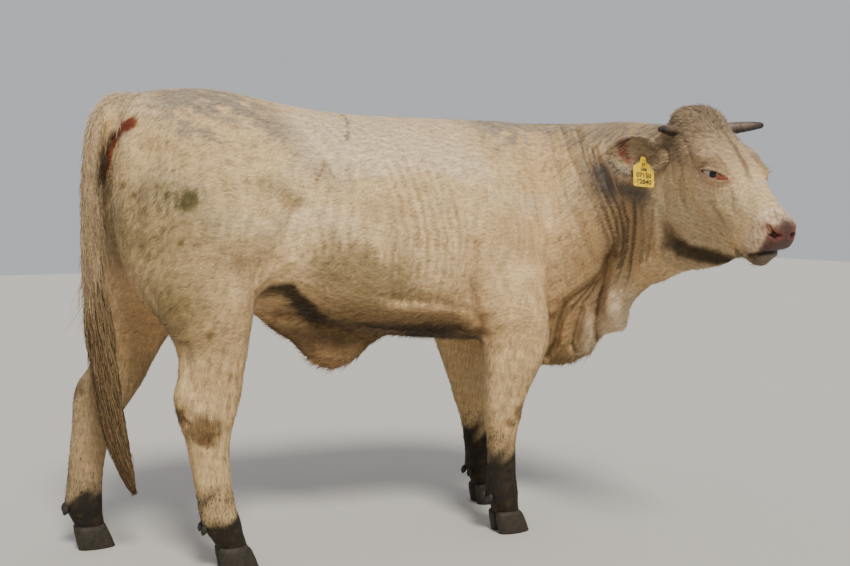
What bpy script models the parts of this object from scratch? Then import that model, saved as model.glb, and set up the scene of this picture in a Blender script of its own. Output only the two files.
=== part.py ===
"""A charolais yearling at life size, standing square with its head turned to its right.

X points to the animal's front, Y to its left and Z up; every length is in metres.
The flesh is lofted and swelled as one body, fused, smoothed and sculpted in code,
and then parted with thin cuts into the pieces that a person would name.
"""
import math
import random

import bmesh
import bpy
import numpy as np
from mathutils import Matrix, Vector

# Driving dimensions of the animal
WITHERS = 1.20
CROUP = 1.255
GAP = 0.0003
CORNER_ROOM = 2.2
VOXEL = 0.0045
MERGE = 0.00001
RING_POINTS = 28
STEPS_PER_SPAN = 4

# Trunk stations: place along X, top, bottom, half of the width, level of the widest part
TRUNK = (
    (-0.635, 1.150, 0.960, 0.050, 1.06),
    (-0.615, 1.200, 0.820, 0.125, 1.00),
    (-0.570, 1.234, 0.730, 0.180, 0.96),
    (-0.480, CROUP - 0.003, 0.680, 0.222, 0.94),
    (-0.360, CROUP - 0.003, 0.665, 0.240, 0.94),
    (-0.240, CROUP - 0.025, 0.655, 0.240, 0.93),
    (-0.120, 1.212, 0.625, 0.250, 0.89),
    (0.000, 1.202, 0.590, 0.268, 0.86),
    (0.150, WITHERS, 0.565, 0.275, 0.85),
    (0.300, WITHERS, 0.550, 0.262, 0.85),
    (0.420, WITHERS, 0.540, 0.235, 0.86),
    (0.520, WITHERS - 0.002, 0.530, 0.195, 0.88),
    (0.600, WITHERS - 0.016, 0.520, 0.135, 0.90),
    (0.650, 1.130, 0.570, 0.080, 0.90),
)

# Neck stations: centre x, y, top, bottom, half of the width, level of the widest part
NECK = (
    (0.400, 0.000, 1.190, 0.620, 0.180, 0.98),
    (0.520, -0.015, 1.194, 0.500, 0.172, 0.98),
    (0.620, -0.055, 1.194, 0.455, 0.152, 0.98),
    (0.690, -0.125, 1.192, 0.470, 0.134, 0.99),
    (0.730, -0.200, 1.190, 0.540, 0.120, 1.00),
    (0.750, -0.280, 1.190, 0.620, 0.110, 1.00),
    (0.755, -0.360, 1.180, 0.682, 0.102, 1.01),
    (0.765, -0.440, 1.169, 0.730, 0.092, 1.02),
    (0.782, -0.510, 1.150, 0.772, 0.062, 1.02),
)

# Skin of the throat under the jaw: centre x, y, z, half of the width, half of the height
THROAT = (
    (0.762, -0.400, 0.800, 0.070, 0.085),
    (0.776, -0.480, 0.822, 0.062, 0.072),
    (0.792, -0.560, 0.826, 0.050, 0.058),
    (0.810, -0.630, 0.824, 0.038, 0.042),
    (0.822, -0.680, 0.822, 0.024, 0.026),
)

# The head's own frame: poll, heading, how far the face points down, and its tilt
POLL = Vector((0.804, -0.548, 1.169))
HEAD_YAW = math.radians(-84)
HEAD_PITCH = math.radians(36.7)
HEAD_ROLL = math.radians(4.2)

# Head stations: place along the face, top, bottom, half of the width, level of the widest part
HEAD = (
    (-0.052, 0.000, -0.090, 0.048, -0.045),
    (-0.025, 0.028, -0.160, 0.078, -0.055),
    (0.030, 0.026, -0.225, 0.096, -0.060),
    (0.080, 0.014, -0.262, 0.101, -0.070),
    (0.140, 0.004, -0.282, 0.100, -0.075),
    (0.190, -0.003, -0.280, 0.090, -0.075),
    (0.240, -0.010, -0.262, 0.075, -0.080),
    (0.285, -0.018, -0.240, 0.062, -0.090),
    (0.320, -0.024, -0.215, 0.056, -0.095),
    (0.350, -0.029, -0.194, 0.056, -0.095),
    (0.378, -0.033, -0.178, 0.059, -0.092),
    (0.402, -0.042, -0.160, 0.054, -0.090),
    (0.419, -0.060, -0.120, 0.034, -0.088),
)

# Leg stations: height, centre x, centre y, half of the length fore and aft, half of the width
LEGS = {
    "fore_right": (
        (0.760, 0.430, -0.165, 0.120, 0.075),
        (0.640, 0.445, -0.178, 0.116, 0.072),
        (0.560, 0.460, -0.176, 0.108, 0.066),
        (0.500, 0.454, -0.174, 0.092, 0.060),
        (0.430, 0.436, -0.172, 0.073, 0.053),
        (0.370, 0.422, -0.170, 0.060, 0.050),
        (0.325, 0.419, -0.170, 0.053, 0.046),
        (0.270, 0.417, -0.170, 0.045, 0.038),
        (0.200, 0.418, -0.170, 0.043, 0.036),
        (0.150, 0.418, -0.170, 0.046, 0.040),
        (0.118, 0.419, -0.170, 0.049, 0.045),
        (0.085, 0.425, -0.170, 0.043, 0.041),
        (0.062, 0.432, -0.170, 0.041, 0.040),
        (0.045, 0.437, -0.170, 0.034, 0.034),
    ),
    "fore_left": (
        (0.760, 0.420, 0.160, 0.120, 0.075),
        (0.640, 0.430, 0.165, 0.116, 0.070),
        (0.560, 0.445, 0.160, 0.102, 0.064),
        (0.500, 0.452, 0.152, 0.088, 0.058),
        (0.430, 0.458, 0.144, 0.070, 0.052),
        (0.370, 0.465, 0.138, 0.058, 0.050),
        (0.325, 0.471, 0.136, 0.052, 0.046),
        (0.270, 0.480, 0.133, 0.044, 0.038),
        (0.200, 0.490, 0.130, 0.043, 0.036),
        (0.150, 0.497, 0.130, 0.046, 0.040),
        (0.118, 0.501, 0.130, 0.049, 0.045),
        (0.085, 0.508, 0.130, 0.043, 0.041),
        (0.062, 0.515, 0.130, 0.041, 0.040),
        (0.045, 0.520, 0.130, 0.034, 0.034),
    ),
    "hind_right": (
        (0.860, -0.450, -0.130, 0.170, 0.105),
        (0.780, -0.445, -0.150, 0.160, 0.100),
        (0.700, -0.440, -0.165, 0.142, 0.088),
        (0.630, -0.424, -0.170, 0.112, 0.076),
        (0.570, -0.416, -0.170, 0.094, 0.064),
        (0.510, -0.422, -0.170, 0.086, 0.055),
        (0.455, -0.432, -0.170, 0.088, 0.049),
        (0.400, -0.434, -0.170, 0.075, 0.047),
        (0.340, -0.432, -0.170, 0.058, 0.042),
        (0.250, -0.424, -0.170, 0.050, 0.038),
        (0.170, -0.412, -0.170, 0.049, 0.040),
        (0.128, -0.402, -0.170, 0.052, 0.046),
        (0.090, -0.388, -0.170, 0.045, 0.042),
        (0.062, -0.374, -0.170, 0.041, 0.040),
        (0.045, -0.367, -0.170, 0.034, 0.034),
    ),
    "hind_left": (
        (0.860, -0.480, 0.130, 0.160, 0.105),
        (0.780, -0.490, 0.150, 0.152, 0.100),
        (0.700, -0.505, 0.163, 0.134, 0.088),
        (0.630, -0.530, 0.168, 0.108, 0.075),
        (0.570, -0.560, 0.170, 0.092, 0.063),
        (0.510, -0.594, 0.170, 0.086, 0.055),
        (0.450, -0.630, 0.170, 0.090, 0.049),
        (0.400, -0.652, 0.170, 0.078, 0.047),
        (0.330, -0.678, 0.170, 0.056, 0.042),
        (0.240, -0.695, 0.170, 0.050, 0.038),
        (0.165, -0.703, 0.170, 0.049, 0.040),
        (0.125, -0.706, 0.170, 0.052, 0.046),
        (0.090, -0.700, 0.170, 0.045, 0.042),
        (0.062, -0.690, 0.170, 0.041, 0.040),
        (0.045, -0.685, 0.170, 0.034, 0.034),
    ),
}

# Dock of the tail: centre x, y, z, half of the width, half of the thickness
DOCK = (
    (-0.560, 0.000, 1.195, 0.046, 0.036),
    (-0.610, 0.000, 1.200, 0.044, 0.036),
    (-0.650, 0.000, 1.165, 0.042, 0.034),
    (-0.673, 0.000, 1.090, 0.038, 0.032),
    (-0.686, 0.000, 0.980, 0.034, 0.029),
    (-0.690, 0.000, 0.860, 0.029, 0.025),
    (-0.684, 0.000, 0.720, 0.023, 0.021),
)

# Switch of the tail, from its root in the dock to its tip
SWITCH = (
    (-0.684, 0.000, 0.730, 0.024, 0.021),
    (-0.676, 0.000, 0.640, 0.032, 0.024),
    (-0.665, 0.000, 0.530, 0.042, 0.032),
    (-0.655, 0.000, 0.440, 0.046, 0.036),
    (-0.642, 0.000, 0.340, 0.038, 0.030),
    (-0.622, 0.000, 0.250, 0.024, 0.018),
    (-0.590, 0.000, 0.175, 0.005, 0.004),
)

# Locks of the switch: how many, shortest and longest share of the path, where the last one starts,
# half of the width at the root, thickness over width, and how far they wave
SWITCH_CORE_SHARE = 0.50
SWITCH_CORE_END = 0.66
SWITCH_LOCKS = 36
SWITCH_LOCK_SHARE = (0.26, 0.36)
SWITCH_LAST_START = 0.70
SWITCH_LOCK_HALF_WIDTH = 0.0125
SWITCH_WAVE = 0.0055
LOCK_FLATNESS = 0.40
LOCK_STATIONS = (0.0, 0.33, 0.68)
LOCK_TAPER = (0.75, 1.00, 0.70)
GOLDEN_ANGLE = math.pi * (3 - math.sqrt(5))
SEED = 7

# Fold of skin under the belly: centre x, y, z, half of the width, half of the height
BELLY_FOLD = (
    (-0.270, 0.000, 0.690, 0.036, 0.034),
    (-0.200, 0.000, 0.632, 0.038, 0.040),
    (-0.130, 0.000, 0.598, 0.040, 0.050),
    (-0.080, 0.000, 0.560, 0.044, 0.058),
    (-0.035, 0.000, 0.540, 0.044, 0.062),
    (0.010, 0.000, 0.555, 0.038, 0.056),
    (0.060, 0.000, 0.580, 0.032, 0.046),
    (0.120, 0.000, 0.600, 0.028, 0.036),
)

# Muscles and swellings: centre, half axes, pitch about Y and yaw about Z in degrees, paired or not
SWELLS = (
    ((-0.430, 0.150, 0.930), (0.185, 0.108, 0.240), 8, 0, True),
    ((-0.560, 0.105, 0.900), (0.090, 0.090, 0.240), -6, 0, True),
    ((-0.240, 0.145, 1.085), (0.120, 0.080, 0.082), 0, 0, True),
    ((0.400, 0.140, 0.880), (0.160, 0.090, 0.260), -14, 0, True),
    ((0.540, 0.095, 0.800), (0.095, 0.095, 0.180), 0, 0, True),
    ((0.360, 0.155, 0.700), (0.120, 0.085, 0.140), 0, 0, True),
    ((0.610, -0.040, 0.570), (0.110, 0.070, 0.110), -10, -20, False),
)

# How far smoothing reaches over the trunk, and the share of it that legs and head take
SMOOTHING_REACH = 0.057
LEG_SHARE = 0.14
HEAD_SHARE = 0.13
LIMB_TOP = 0.62
LIMB_SMOOTH = 0.50

# Creases (negative) and ridges worked into the body: radius, height, paired or not, points
BODY_STROKES = (
    (0.030, -0.012, True,
     ((-0.205, 0.250, 0.930), (-0.250, 0.250, 0.830), (-0.300, 0.235, 0.780), (-0.300, 0.215, 0.700))),
    (0.034, -0.006, True,
     ((-0.190, 0.150, 1.180), (-0.170, 0.200, 1.130), (-0.110, 0.240, 1.060), (-0.070, 0.250, 1.030))),
    (0.042, -0.007, True, ((0.230, 0.260, 1.060), (0.265, 0.275, 0.900), (0.265, 0.250, 0.700))),
    (0.030, -0.009, True, ((-0.575, 0.175, 1.080), (-0.545, 0.215, 0.930), (-0.545, 0.190, 0.740))),
    (0.020, -0.007, True, ((-0.640, 0.060, 1.190), (-0.650, 0.055, 1.080), (-0.640, 0.050, 0.960))),
)
NECK_FOLDS = 4
NECK_FOLD_RADIUS = 0.011
NECK_FOLD_DEPTH = 0.007

# Creases and ridges of the head in its own frame: radius, height, points of its left side
HEAD_STROKES = (
    (0.0065, -0.0130,
     ((0.384, 0.050, -0.052), (0.391, 0.052, -0.064), (0.401, 0.045, -0.070), (0.410, 0.034, -0.064))),
    (0.0065, 0.0030,
     ((0.372, 0.054, -0.052), (0.382, 0.046, -0.042), (0.398, 0.034, -0.046), (0.412, 0.024, -0.058))),
    (0.0140, -0.0040, ((0.135, 0.098, -0.045), (0.105, 0.102, -0.070), (0.095, 0.102, -0.110))),
    (0.0140, 0.0040, ((0.225, 0.075, -0.095), (0.270, 0.066, -0.105), (0.310, 0.058, -0.110))),
    (0.0100, -0.0040, ((0.230, 0.050, -0.018), (0.270, 0.046, -0.030), (0.310, 0.042, -0.045))),
    (0.0120, 0.0025,
     ((0.150, 0.097, -0.030), (0.180, 0.100, -0.014), (0.215, 0.089, -0.008), (0.232, 0.078, -0.016))),
)

# Line of the mouth along the face and down it, whatever the width: radius, depth, points
MOUTH = (0.0055, -0.0085,
         ((0.330, -0.178), (0.352, -0.175), (0.376, -0.160), (0.396, -0.140), (0.425, -0.114)))
MOUTH_REACH = 0.09

# Eyes: place in the head's frame, ball, and the opening between the lids
EYE_PLACE = (0.193, 0.0645, -0.036)
EYE_RADIUS = 0.0245
EYE_OUTWARD = (0.30, 1.00, 0.12)
EYE_SLANT = math.radians(37)
EYE_SEGMENTS = 12
LID_HALF_LENGTH = 0.0265
LID_RISE = 0.0135
LID_FALL = 0.0105

# Horns in the head's frame: centre x, y, z and radius, from root to tip
HORN = (
    (0.010, 0.060, -0.032, 0.0200),
    (0.018, 0.092, -0.020, 0.0185),
    (0.029, 0.127, -0.008, 0.0155),
    (0.042, 0.165, 0.006, 0.0095),
    (0.052, 0.196, 0.018, 0.0026),
)
HORN_POINTS = 9

# Ears: root in the head's frame, and for each side its lie and the way its cup faces, then
# stations of place along, half of the width, how far the back bulges and how deep the hollow is
EAR_ROOT = (0.035, 0.092, -0.098)
EARS = {
    "right": ((-0.22, 0.97, 0.02), (0.82, 0.26, 0.34)),
    "left": ((-0.72, 0.68, 0.02), (0.52, 0.62, 0.34)),
}
EAR_LENGTH = 0.168
EAR_RIM = 0.003
EAR_STATIONS = (
    (-0.200, 0.020, 0.020, -0.020),
    (0.000, 0.022, 0.022, -0.016),
    (0.100, 0.029, 0.026, -0.002),
    (0.220, 0.040, 0.031, 0.020),
    (0.400, 0.050, 0.033, 0.027),
    (0.580, 0.052, 0.030, 0.024),
    (0.760, 0.044, 0.023, 0.017),
    (0.900, 0.028, 0.014, 0.009),
    (1.000, 0.007, 0.005, 0.001),
)
EAR_STEPS = 1
EAR_ARC_POINTS = 8

# Long hair at the lower rim of each ear: shares along the ear, and length and half of the width of a lock
EAR_LOCKS = (0.62, 0.70, 0.78, 0.86, 0.94)
EAR_LOCK_LENGTH = 0.040
EAR_LOCK_HALF_WIDTH = 0.0085

# Claws: height, shift forward, half of the length, half of the width
CLAW = (
    (0.000, 0.014, 0.049, 0.0210),
    (0.034, 0.005, 0.046, 0.0212),
    (0.060, -0.003, 0.041, 0.0190),
)
CLAW_POINTS = 11
DEWCLAW_SEGMENTS = 7
CLAW_SPREAD = 0.0230
DEWCLAW_RADII = (0.012, 0.010, 0.017)
DEWCLAW_BACK = 0.047
DEWCLAW_SPREAD = 0.020
DEWCLAW_DROP = 0.012

# Ear tag: where its stud goes through the right ear, the size of the plate and its tilt
TAG_SHARE = 0.36
TAG_DOWN = 0.008
TAG_DEPTH = 0.009
TAG_WIDTH = 0.064
TAG_HEIGHT = 0.076
TAG_THICKNESS = 0.0022
TAG_TILT = math.radians(28)
STUD_RADIUS = 0.0032
STUD_END = 0.0385
BUTTON_RADIUS = 0.011
BUTTON_THICKNESS = 0.0024

# Triangles kept for the body and for the head
BODY_TRIANGLES = 4700
HEAD_TRIANGLES = 3700

# Level cuts through the limbs and the tail: height, x range, y range
LEVEL_CUTS = (
    (0.515, (0.270, 0.590), (-0.330, -0.098)),
    (0.515, (0.270, 0.610), (0.060, 0.330)),
    (0.600, (-0.640, -0.240), (-0.330, -0.050)),
    (0.600, (-0.740, -0.340), (0.050, 0.330)),
    (0.300, (0.320, 0.520), (-0.250, -0.090)),
    (0.300, (0.370, 0.590), (0.050, 0.220)),
    (0.360, (-0.560, -0.320), (-0.250, -0.090)),
    (0.360, (-0.800, -0.540), (0.090, 0.250)),
    (1.050, (-0.760, -0.640), (-0.080, 0.080)),
)

# Cuts at the root and at the top of the neck: middle, heading, and how far the top leans forward
NECK_CUT = (Vector((0.612, -0.040, 0.850)), math.radians(-18), 0.0)
HEAD_CUT = (Vector((0.790, -0.4675, 0.950)), HEAD_YAW, math.radians(6.5))
NECK_REACH = (0.45, 0.50)
HEAD_REACH = (0.20, 0.36)

# Colour and roughness of each finish, by the words that the pieces' names start with
SHARP_ANGLE = math.radians(50)
FINISHES = {
    "coat": ((0.62, 0.50, 0.36), 0.85),
    "claw": ((0.06, 0.05, 0.04), 0.60),
    "dewclaw": ((0.07, 0.055, 0.045), 0.60),
    "horn": ((0.22, 0.19, 0.15), 0.55),
    "eye": ((0.02, 0.012, 0.01), 0.10),
    "tail_switch": ((0.30, 0.20, 0.12), 0.90),
    "ear_tag": ((0.80, 0.55, 0.02), 0.50),
}


def head_axes():
    """Return the head's forward, left and upward unit vectors."""
    forward = Vector((
        math.cos(HEAD_YAW) * math.cos(HEAD_PITCH),
        math.sin(HEAD_YAW) * math.cos(HEAD_PITCH),
        -math.sin(HEAD_PITCH),
    ))
    left = Vector((-math.sin(HEAD_YAW), math.cos(HEAD_YAW), 0))
    left.rotate(Matrix.Rotation(HEAD_ROLL, 3, forward))
    return forward, left, forward.cross(left)


def on_head(x, y, z):
    """Turn a point of the head's own frame into a point of the model."""
    forward, left, up = head_axes()
    return POLL + forward * x + left * y + up * z


def refine(stations, steps=STEPS_PER_SPAN):
    """Add stations between the given ones along a smooth curve through them."""
    rows = np.array(stations, dtype=float)
    rows = np.vstack([2 * rows[0] - rows[1], rows, 2 * rows[-1] - rows[-2]])
    out = []
    for i in range(1, len(rows) - 2):
        a, b, c, d = rows[i - 1:i + 3]
        for k in range(steps):
            t = k / steps
            out.append(0.5 * (2 * b + (c - a) * t + (2 * a - 5 * b + 4 * c - d) * t ** 2
                              + (3 * b - a - 3 * c + d) * t ** 3))
    out.append(rows[-2])
    return out


def ring(centre, side, up, half_width, rise, fall, power=2.3, power_low=2.3, count=RING_POINTS):
    """Return the points of one closed section: an oval whose upper and lower halves may differ."""
    points = []
    for k in range(count):
        angle = 2 * math.pi * k / count
        s, c = math.sin(angle), math.cos(angle)
        p = power if c > 0 else power_low
        across = math.copysign(abs(s) ** (2 / p), s) * half_width
        along = math.copysign(abs(c) ** (2 / p), c) * (rise if c > 0 else fall)
        points.append(Vector(centre) + Vector(side) * across + Vector(up) * along)
    return points


def loft(bm, rings):
    """Skin a row of rings with quads and close both ends."""
    count = len(rings[0])
    rows = [[bm.verts.new(p) for p in r] for r in rings]
    for a, b in zip(rows, rows[1:]):
        for k in range(count):
            j = (k + 1) % count
            bm.faces.new((a[k], a[j], b[j], b[k]))
    for row in (rows[0], rows[-1]):
        middle = bm.verts.new(sum((v.co for v in row), Vector()) / count)
        for k in range(count):
            bm.faces.new((row[k], row[(k + 1) % count], middle))


def face_out(bm):
    """Turn the faces of one closed surface outwards."""
    bmesh.ops.recalc_face_normals(bm, faces=bm.faces)
    if bm.calc_volume(signed=True) < 0:
        bmesh.ops.reverse_faces(bm, faces=bm.faces)


def closed_mesh(name, rings):
    """Return a closed mesh lofted through rings, with its faces pointing out."""
    bm = bmesh.new()
    loft(bm, rings)
    face_out(bm)
    mesh = bpy.data.meshes.new(name)
    bm.to_mesh(mesh)
    bm.free()
    return mesh


def ball(name, centre, radii, turn=Matrix.Identity(3), segments=24):
    """Return an ellipsoid as a mesh."""
    bm = bmesh.new()
    shape = Matrix.Translation(centre) @ turn.to_4x4() @ Matrix.Diagonal((*radii, 1))
    bmesh.ops.create_uvsphere(bm, u_segments=segments, v_segments=segments // 2, radius=1, matrix=shape)
    mesh = bpy.data.meshes.new(name)
    bm.to_mesh(mesh)
    bm.free()
    return mesh


def trunk_rings():
    """Rings of the barrel from the rump to the chest."""
    return [ring((x, 0, level), (0, 1, 0), (0, 0, 1), half, top - level, level - low, 2.5, 2.2)
            for x, top, low, half, level in refine(TRUNK)]


def neck_rings():
    """Rings of the neck, which bends to the animal's right."""
    rows = refine(NECK)
    rings = []
    for i, (x, y, top, low, half, level) in enumerate(rows):
        before, after = rows[max(i - 1, 0)], rows[min(i + 1, len(rows) - 1)]
        ahead = Vector((after[0] - before[0], after[1] - before[1], 0)).normalized()
        side = Vector((-ahead.y, ahead.x, 0))
        rings.append(ring((x, y, level), side, (0, 0, 1), half, top - level, level - low, 2.1, 1.55))
    return rings


def head_rings():
    """Rings of the head along its face."""
    _, left, up = head_axes()
    return [ring(on_head(x, 0, level), left, up, half, top - level, level - low, 2.6, 1.8)
            for x, top, low, half, level in refine(HEAD)]


def leg_rings(stations):
    """Level rings down one leg."""
    return [ring((x, y, z), (0, 1, 0), (1, 0, 0), half_width, half_length, half_length, 2.2, 2.2)
            for z, x, y, half_length, half_width in refine(stations)]


def tube_rings(stations, across=(0, 1, 0), steps=STEPS_PER_SPAN, count=RING_POINTS):
    """Oval rings square to a path, each with a half width and a half height."""
    rows = refine(stations, steps)
    rings = []
    for i, row in enumerate(rows):
        before, after = rows[max(i - 1, 0)], rows[min(i + 1, len(rows) - 1)]
        ahead = Vector(after[:3] - before[:3]).normalized()
        up = ahead.cross(Vector(across)).normalized()
        side = up.cross(ahead)
        rings.append(ring(row[:3], side, up, row[3], row[4], row[4], 2, 2, count))
    return rings


def head_swells():
    """Cheeks, brows, poll, nostrils and lips of the head."""
    turn = Matrix(head_axes()).transposed()
    meshes = []
    for side in (-1, 1):
        meshes += [
            ball("cheek", on_head(0.128, 0.054 * side, -0.165), (0.092, 0.041, 0.098), turn),
            ball("parotid", on_head(0.056, 0.066 * side, -0.165), (0.056, 0.036, 0.092), turn),
            ball("brow", on_head(0.140, 0.066 * side, -0.028), (0.064, 0.035, 0.028), turn),
            ball("orbit", on_head(0.184, 0.0650 * side, -0.037), (0.041, 0.0285, 0.036), turn),
            ball("nostril", on_head(0.374, 0.026 * side, -0.070), (0.036, 0.028, 0.029), turn),
            ball("upper_lip", on_head(0.366, 0.030 * side, -0.114), (0.048, 0.031, 0.040), turn),
        ]
    meshes.append(ball("poll", on_head(-0.006, 0.003, 0.000), (0.058, 0.092, 0.034), turn))
    meshes.append(ball("chin", on_head(0.370, 0, -0.168), (0.036, 0.036, 0.020), turn))
    return meshes


def body_swells():
    """Muscles of the haunch, shoulder and chest."""
    meshes = []
    for centre, radii, pitch, yaw, paired in SWELLS:
        for side in (-1, 1) if paired else (1,):
            turn = (Matrix.Rotation(math.radians(yaw * side), 3, "Z")
                    @ Matrix.Rotation(math.radians(pitch), 3, "Y"))
            place = Vector((centre[0], centre[1] * side, centre[2]))
            meshes.append(ball("muscle", place, radii, turn))
    return meshes


def add_object(name, mesh, collection=None):
    """Put a mesh in the scene under a name."""
    obj = bpy.data.objects.new(name, mesh)
    (collection or bpy.context.scene.collection).objects.link(obj)
    return obj


def drop_object(obj):
    """Remove an object and its mesh."""
    mesh = obj.data
    bpy.data.objects.remove(obj, do_unlink=True)
    bpy.data.meshes.remove(mesh)


def applied(obj):
    """Apply an object's modifiers to its mesh."""
    depsgraph = bpy.context.evaluated_depsgraph_get()
    mesh = bpy.data.meshes.new_from_object(obj.evaluated_get(depsgraph))
    old = obj.data
    obj.modifiers.clear()
    obj.data = mesh
    bpy.data.meshes.remove(old)
    return obj


def vertex_array(mesh, what="vertices"):
    """Return the places, or the normals, of a mesh's vertices as an array."""
    flat = np.empty(len(mesh.vertices) * 3)
    if what == "normals":
        mesh.vertex_normals.foreach_get("vector", flat)
    else:
        mesh.vertices.foreach_get("co", flat)
    return flat.reshape(-1, 3)


def set_vertices(mesh, points):
    """Move a mesh's vertices to the given places."""
    mesh.vertices.foreach_set("co", points.ravel())
    mesh.update()


def head_frame(points):
    """Turn places of the model into places of the head's own frame."""
    return (points - np.array(POLL)) @ np.array(head_axes()).T


def smooth_share(points):
    """Say how strongly each place is smoothed: the trunk most, limbs and head little."""
    share = np.ones(len(points))
    limb = np.clip((points[:, 2] - LIMB_SMOOTH) / (LIMB_TOP - LIMB_SMOOTH), 0, 1)
    share = np.minimum(share, LEG_SHARE + (1 - LEG_SHARE) * limb)
    tail = np.clip((points[:, 0] + 0.640) / 0.04, 0, 1)
    share = np.minimum(share, LEG_SHARE + (1 - LEG_SHARE) * tail)
    local = head_frame(points)
    face = np.clip((0.09 - local[:, 0]) / 0.14, 0, 1)
    near = (np.linalg.norm(local - (0.2, 0, -0.1), axis=1) < 0.36) & (local[:, 2] > -0.30)
    return np.where(near, np.minimum(share, HEAD_SHARE + (1 - HEAD_SHARE) * face), share)


def add_group(obj, name, values, levels=20):
    """Give an object a vertex group from an array of shares."""
    group = obj.vertex_groups.new(name=name)
    steps = np.rint(values * levels).astype(int)
    for step in range(1, levels + 1):
        chosen = np.flatnonzero(steps == step)
        if len(chosen):
            group.add(chosen.tolist(), step / levels, "REPLACE")


def path_distance(points, path):
    """Return how far each point lies from a bent line."""
    best = np.full(len(points), np.inf)
    for a, b in zip(path[:-1], path[1:]):
        a, b = np.array(a), np.array(b)
        along = b - a
        t = np.clip((points - a) @ along / (along @ along), 0, 1)
        best = np.minimum(best, np.linalg.norm(points - a - t[:, None] * along, axis=1))
    return best


def work_strokes(mesh, strokes, frame=lambda points: points):
    """Press each stroke into the skin or raise it, fading over its radius."""
    for radius, height, path in strokes:
        points = vertex_array(mesh)
        near = path_distance(frame(points), path) / radius
        push = height * np.exp(-near ** 2)
        set_vertices(mesh, points + vertex_array(mesh, "normals") * push[:, None])


def work_mouth(mesh):
    """Press the line of the mouth into both lips."""
    radius, depth, path = MOUTH
    flat = [(x, 0, z) for x, z in path]
    points = vertex_array(mesh)
    local = head_frame(points)
    across = np.abs(local[:, 1])
    local[:, 1] = 0
    push = depth * np.exp(-(path_distance(local, flat) / radius) ** 2) * (across < MOUTH_REACH)
    set_vertices(mesh, points + vertex_array(mesh, "normals") * push[:, None])


def neck_folds():
    """Folds of loose skin down the inner side of the bend of the neck."""
    strokes = []
    for k in range(NECK_FOLDS):
        t = k / (NECK_FOLDS - 1)
        x, y = 0.545 + 0.085 * t, -0.215 - 0.135 * t
        path = ((x + 0.02, y + 0.03, 1.08), (x, y, 0.98), (x + 0.01, y - 0.01, 0.84), (x + 0.05, y, 0.72))
        strokes.append((NECK_FOLD_RADIUS, -NECK_FOLD_DEPTH, path))
    return strokes


def mirrored(path):
    """Return a path with its left and right swapped."""
    return tuple((x, -y, z) for x, y, z in path)


def fused_flesh():
    """Return one closed skin round every fleshy form, smoothed and worked."""
    meshes = [
        closed_mesh("trunk", trunk_rings()),
        closed_mesh("neck", neck_rings()),
        closed_mesh("head", head_rings()),
        closed_mesh("dock", tube_rings(DOCK)),
        closed_mesh("throat", tube_rings(THROAT, across=(1, 0, 0))),
        closed_mesh("belly_fold", tube_rings(BELLY_FOLD)),
    ]
    meshes += [closed_mesh(name, leg_rings(stations)) for name, stations in LEGS.items()]
    meshes += body_swells() + head_swells()
    bm = bmesh.new()
    for mesh in meshes:
        bm.from_mesh(mesh)
        bpy.data.meshes.remove(mesh)
    mesh = bpy.data.meshes.new("flesh")
    bm.to_mesh(mesh)
    bm.free()
    flesh = add_object("flesh", mesh)
    remesh = flesh.modifiers.new("fuse", "REMESH")
    remesh.mode = "VOXEL"
    remesh.voxel_size = VOXEL
    applied(flesh)
    add_group(flesh, "soft", smooth_share(vertex_array(flesh.data)))
    smooth = flesh.modifiers.new("smooth", "SMOOTH")
    smooth.factor = 0.5
    smooth.iterations = round((SMOOTHING_REACH / VOXEL) ** 2)
    smooth.vertex_group = "soft"
    applied(flesh)
    body = [(radius, height, path) for radius, height, paired, path in BODY_STROKES]
    body += [(radius, height, mirrored(path)) for radius, height, paired, path in BODY_STROKES if paired]
    work_strokes(flesh.data, body + neck_folds())
    face = [(radius, height, path) for radius, height, path in HEAD_STROKES]
    face += [(radius, height, mirrored(path)) for radius, height, path in HEAD_STROKES]
    work_strokes(flesh.data, face, head_frame)
    work_mouth(flesh.data)
    return flesh


def triangle_count(mesh):
    """Return how many triangles a mesh has."""
    mesh.calc_loop_triangles()
    return len(mesh.loop_triangles)


def cut_axes(cut):
    """Return the middle of a cut, the way ahead of it, across it and up it."""
    centre, heading, lean = cut
    across = Vector((-math.sin(heading), math.cos(heading), 0))
    level = Vector((math.cos(heading), math.sin(heading), 0))
    upward = Vector((0, 0, math.cos(lean))) + level * math.sin(lean)
    return centre, across.cross(upward), across, upward


def in_head(points):
    """Say which places belong to the head."""
    centre, ahead, _, _ = cut_axes(HEAD_CUT)
    return ((points - np.array(centre)) @ np.array(ahead) > 0) & (points[:, 0] > NECK_CUT[0].x)


def thin_out(flesh):
    """Cut the number of triangles of the body and then of the head."""
    for region, wanted in (("body", BODY_TRIANGLES), ("face", HEAD_TRIANGLES)):
        head = in_head(vertex_array(flesh.data))
        chosen = head if region == "face" else ~head
        total = triangle_count(flesh.data)
        inside = np.zeros(len(flesh.data.vertices), dtype=bool)
        inside[chosen] = True
        count = sum(1 for t in flesh.data.loop_triangles if inside[list(t.vertices)].all())
        flesh.vertex_groups.clear()
        add_group(flesh, region, chosen.astype(float), 1)
        thin = flesh.modifiers.new("thin", "DECIMATE")
        thin.vertex_group = region
        thin.ratio = (total - count + wanted) / total
        applied(flesh)
    flesh.vertex_groups.clear()
    return flesh


def box(name, low, high):
    """Return a box between two corners as an object."""
    bm = bmesh.new()
    size = [b - a for a, b in zip(low, high)]
    middle = [(a + b) / 2 for a, b in zip(low, high)]
    shape = Matrix.Translation(middle) @ Matrix.Diagonal((*size, 1))
    bmesh.ops.create_cube(bm, size=1, matrix=shape)
    mesh = bpy.data.meshes.new(name)
    bm.to_mesh(mesh)
    bm.free()
    return add_object(name, mesh)


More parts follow.
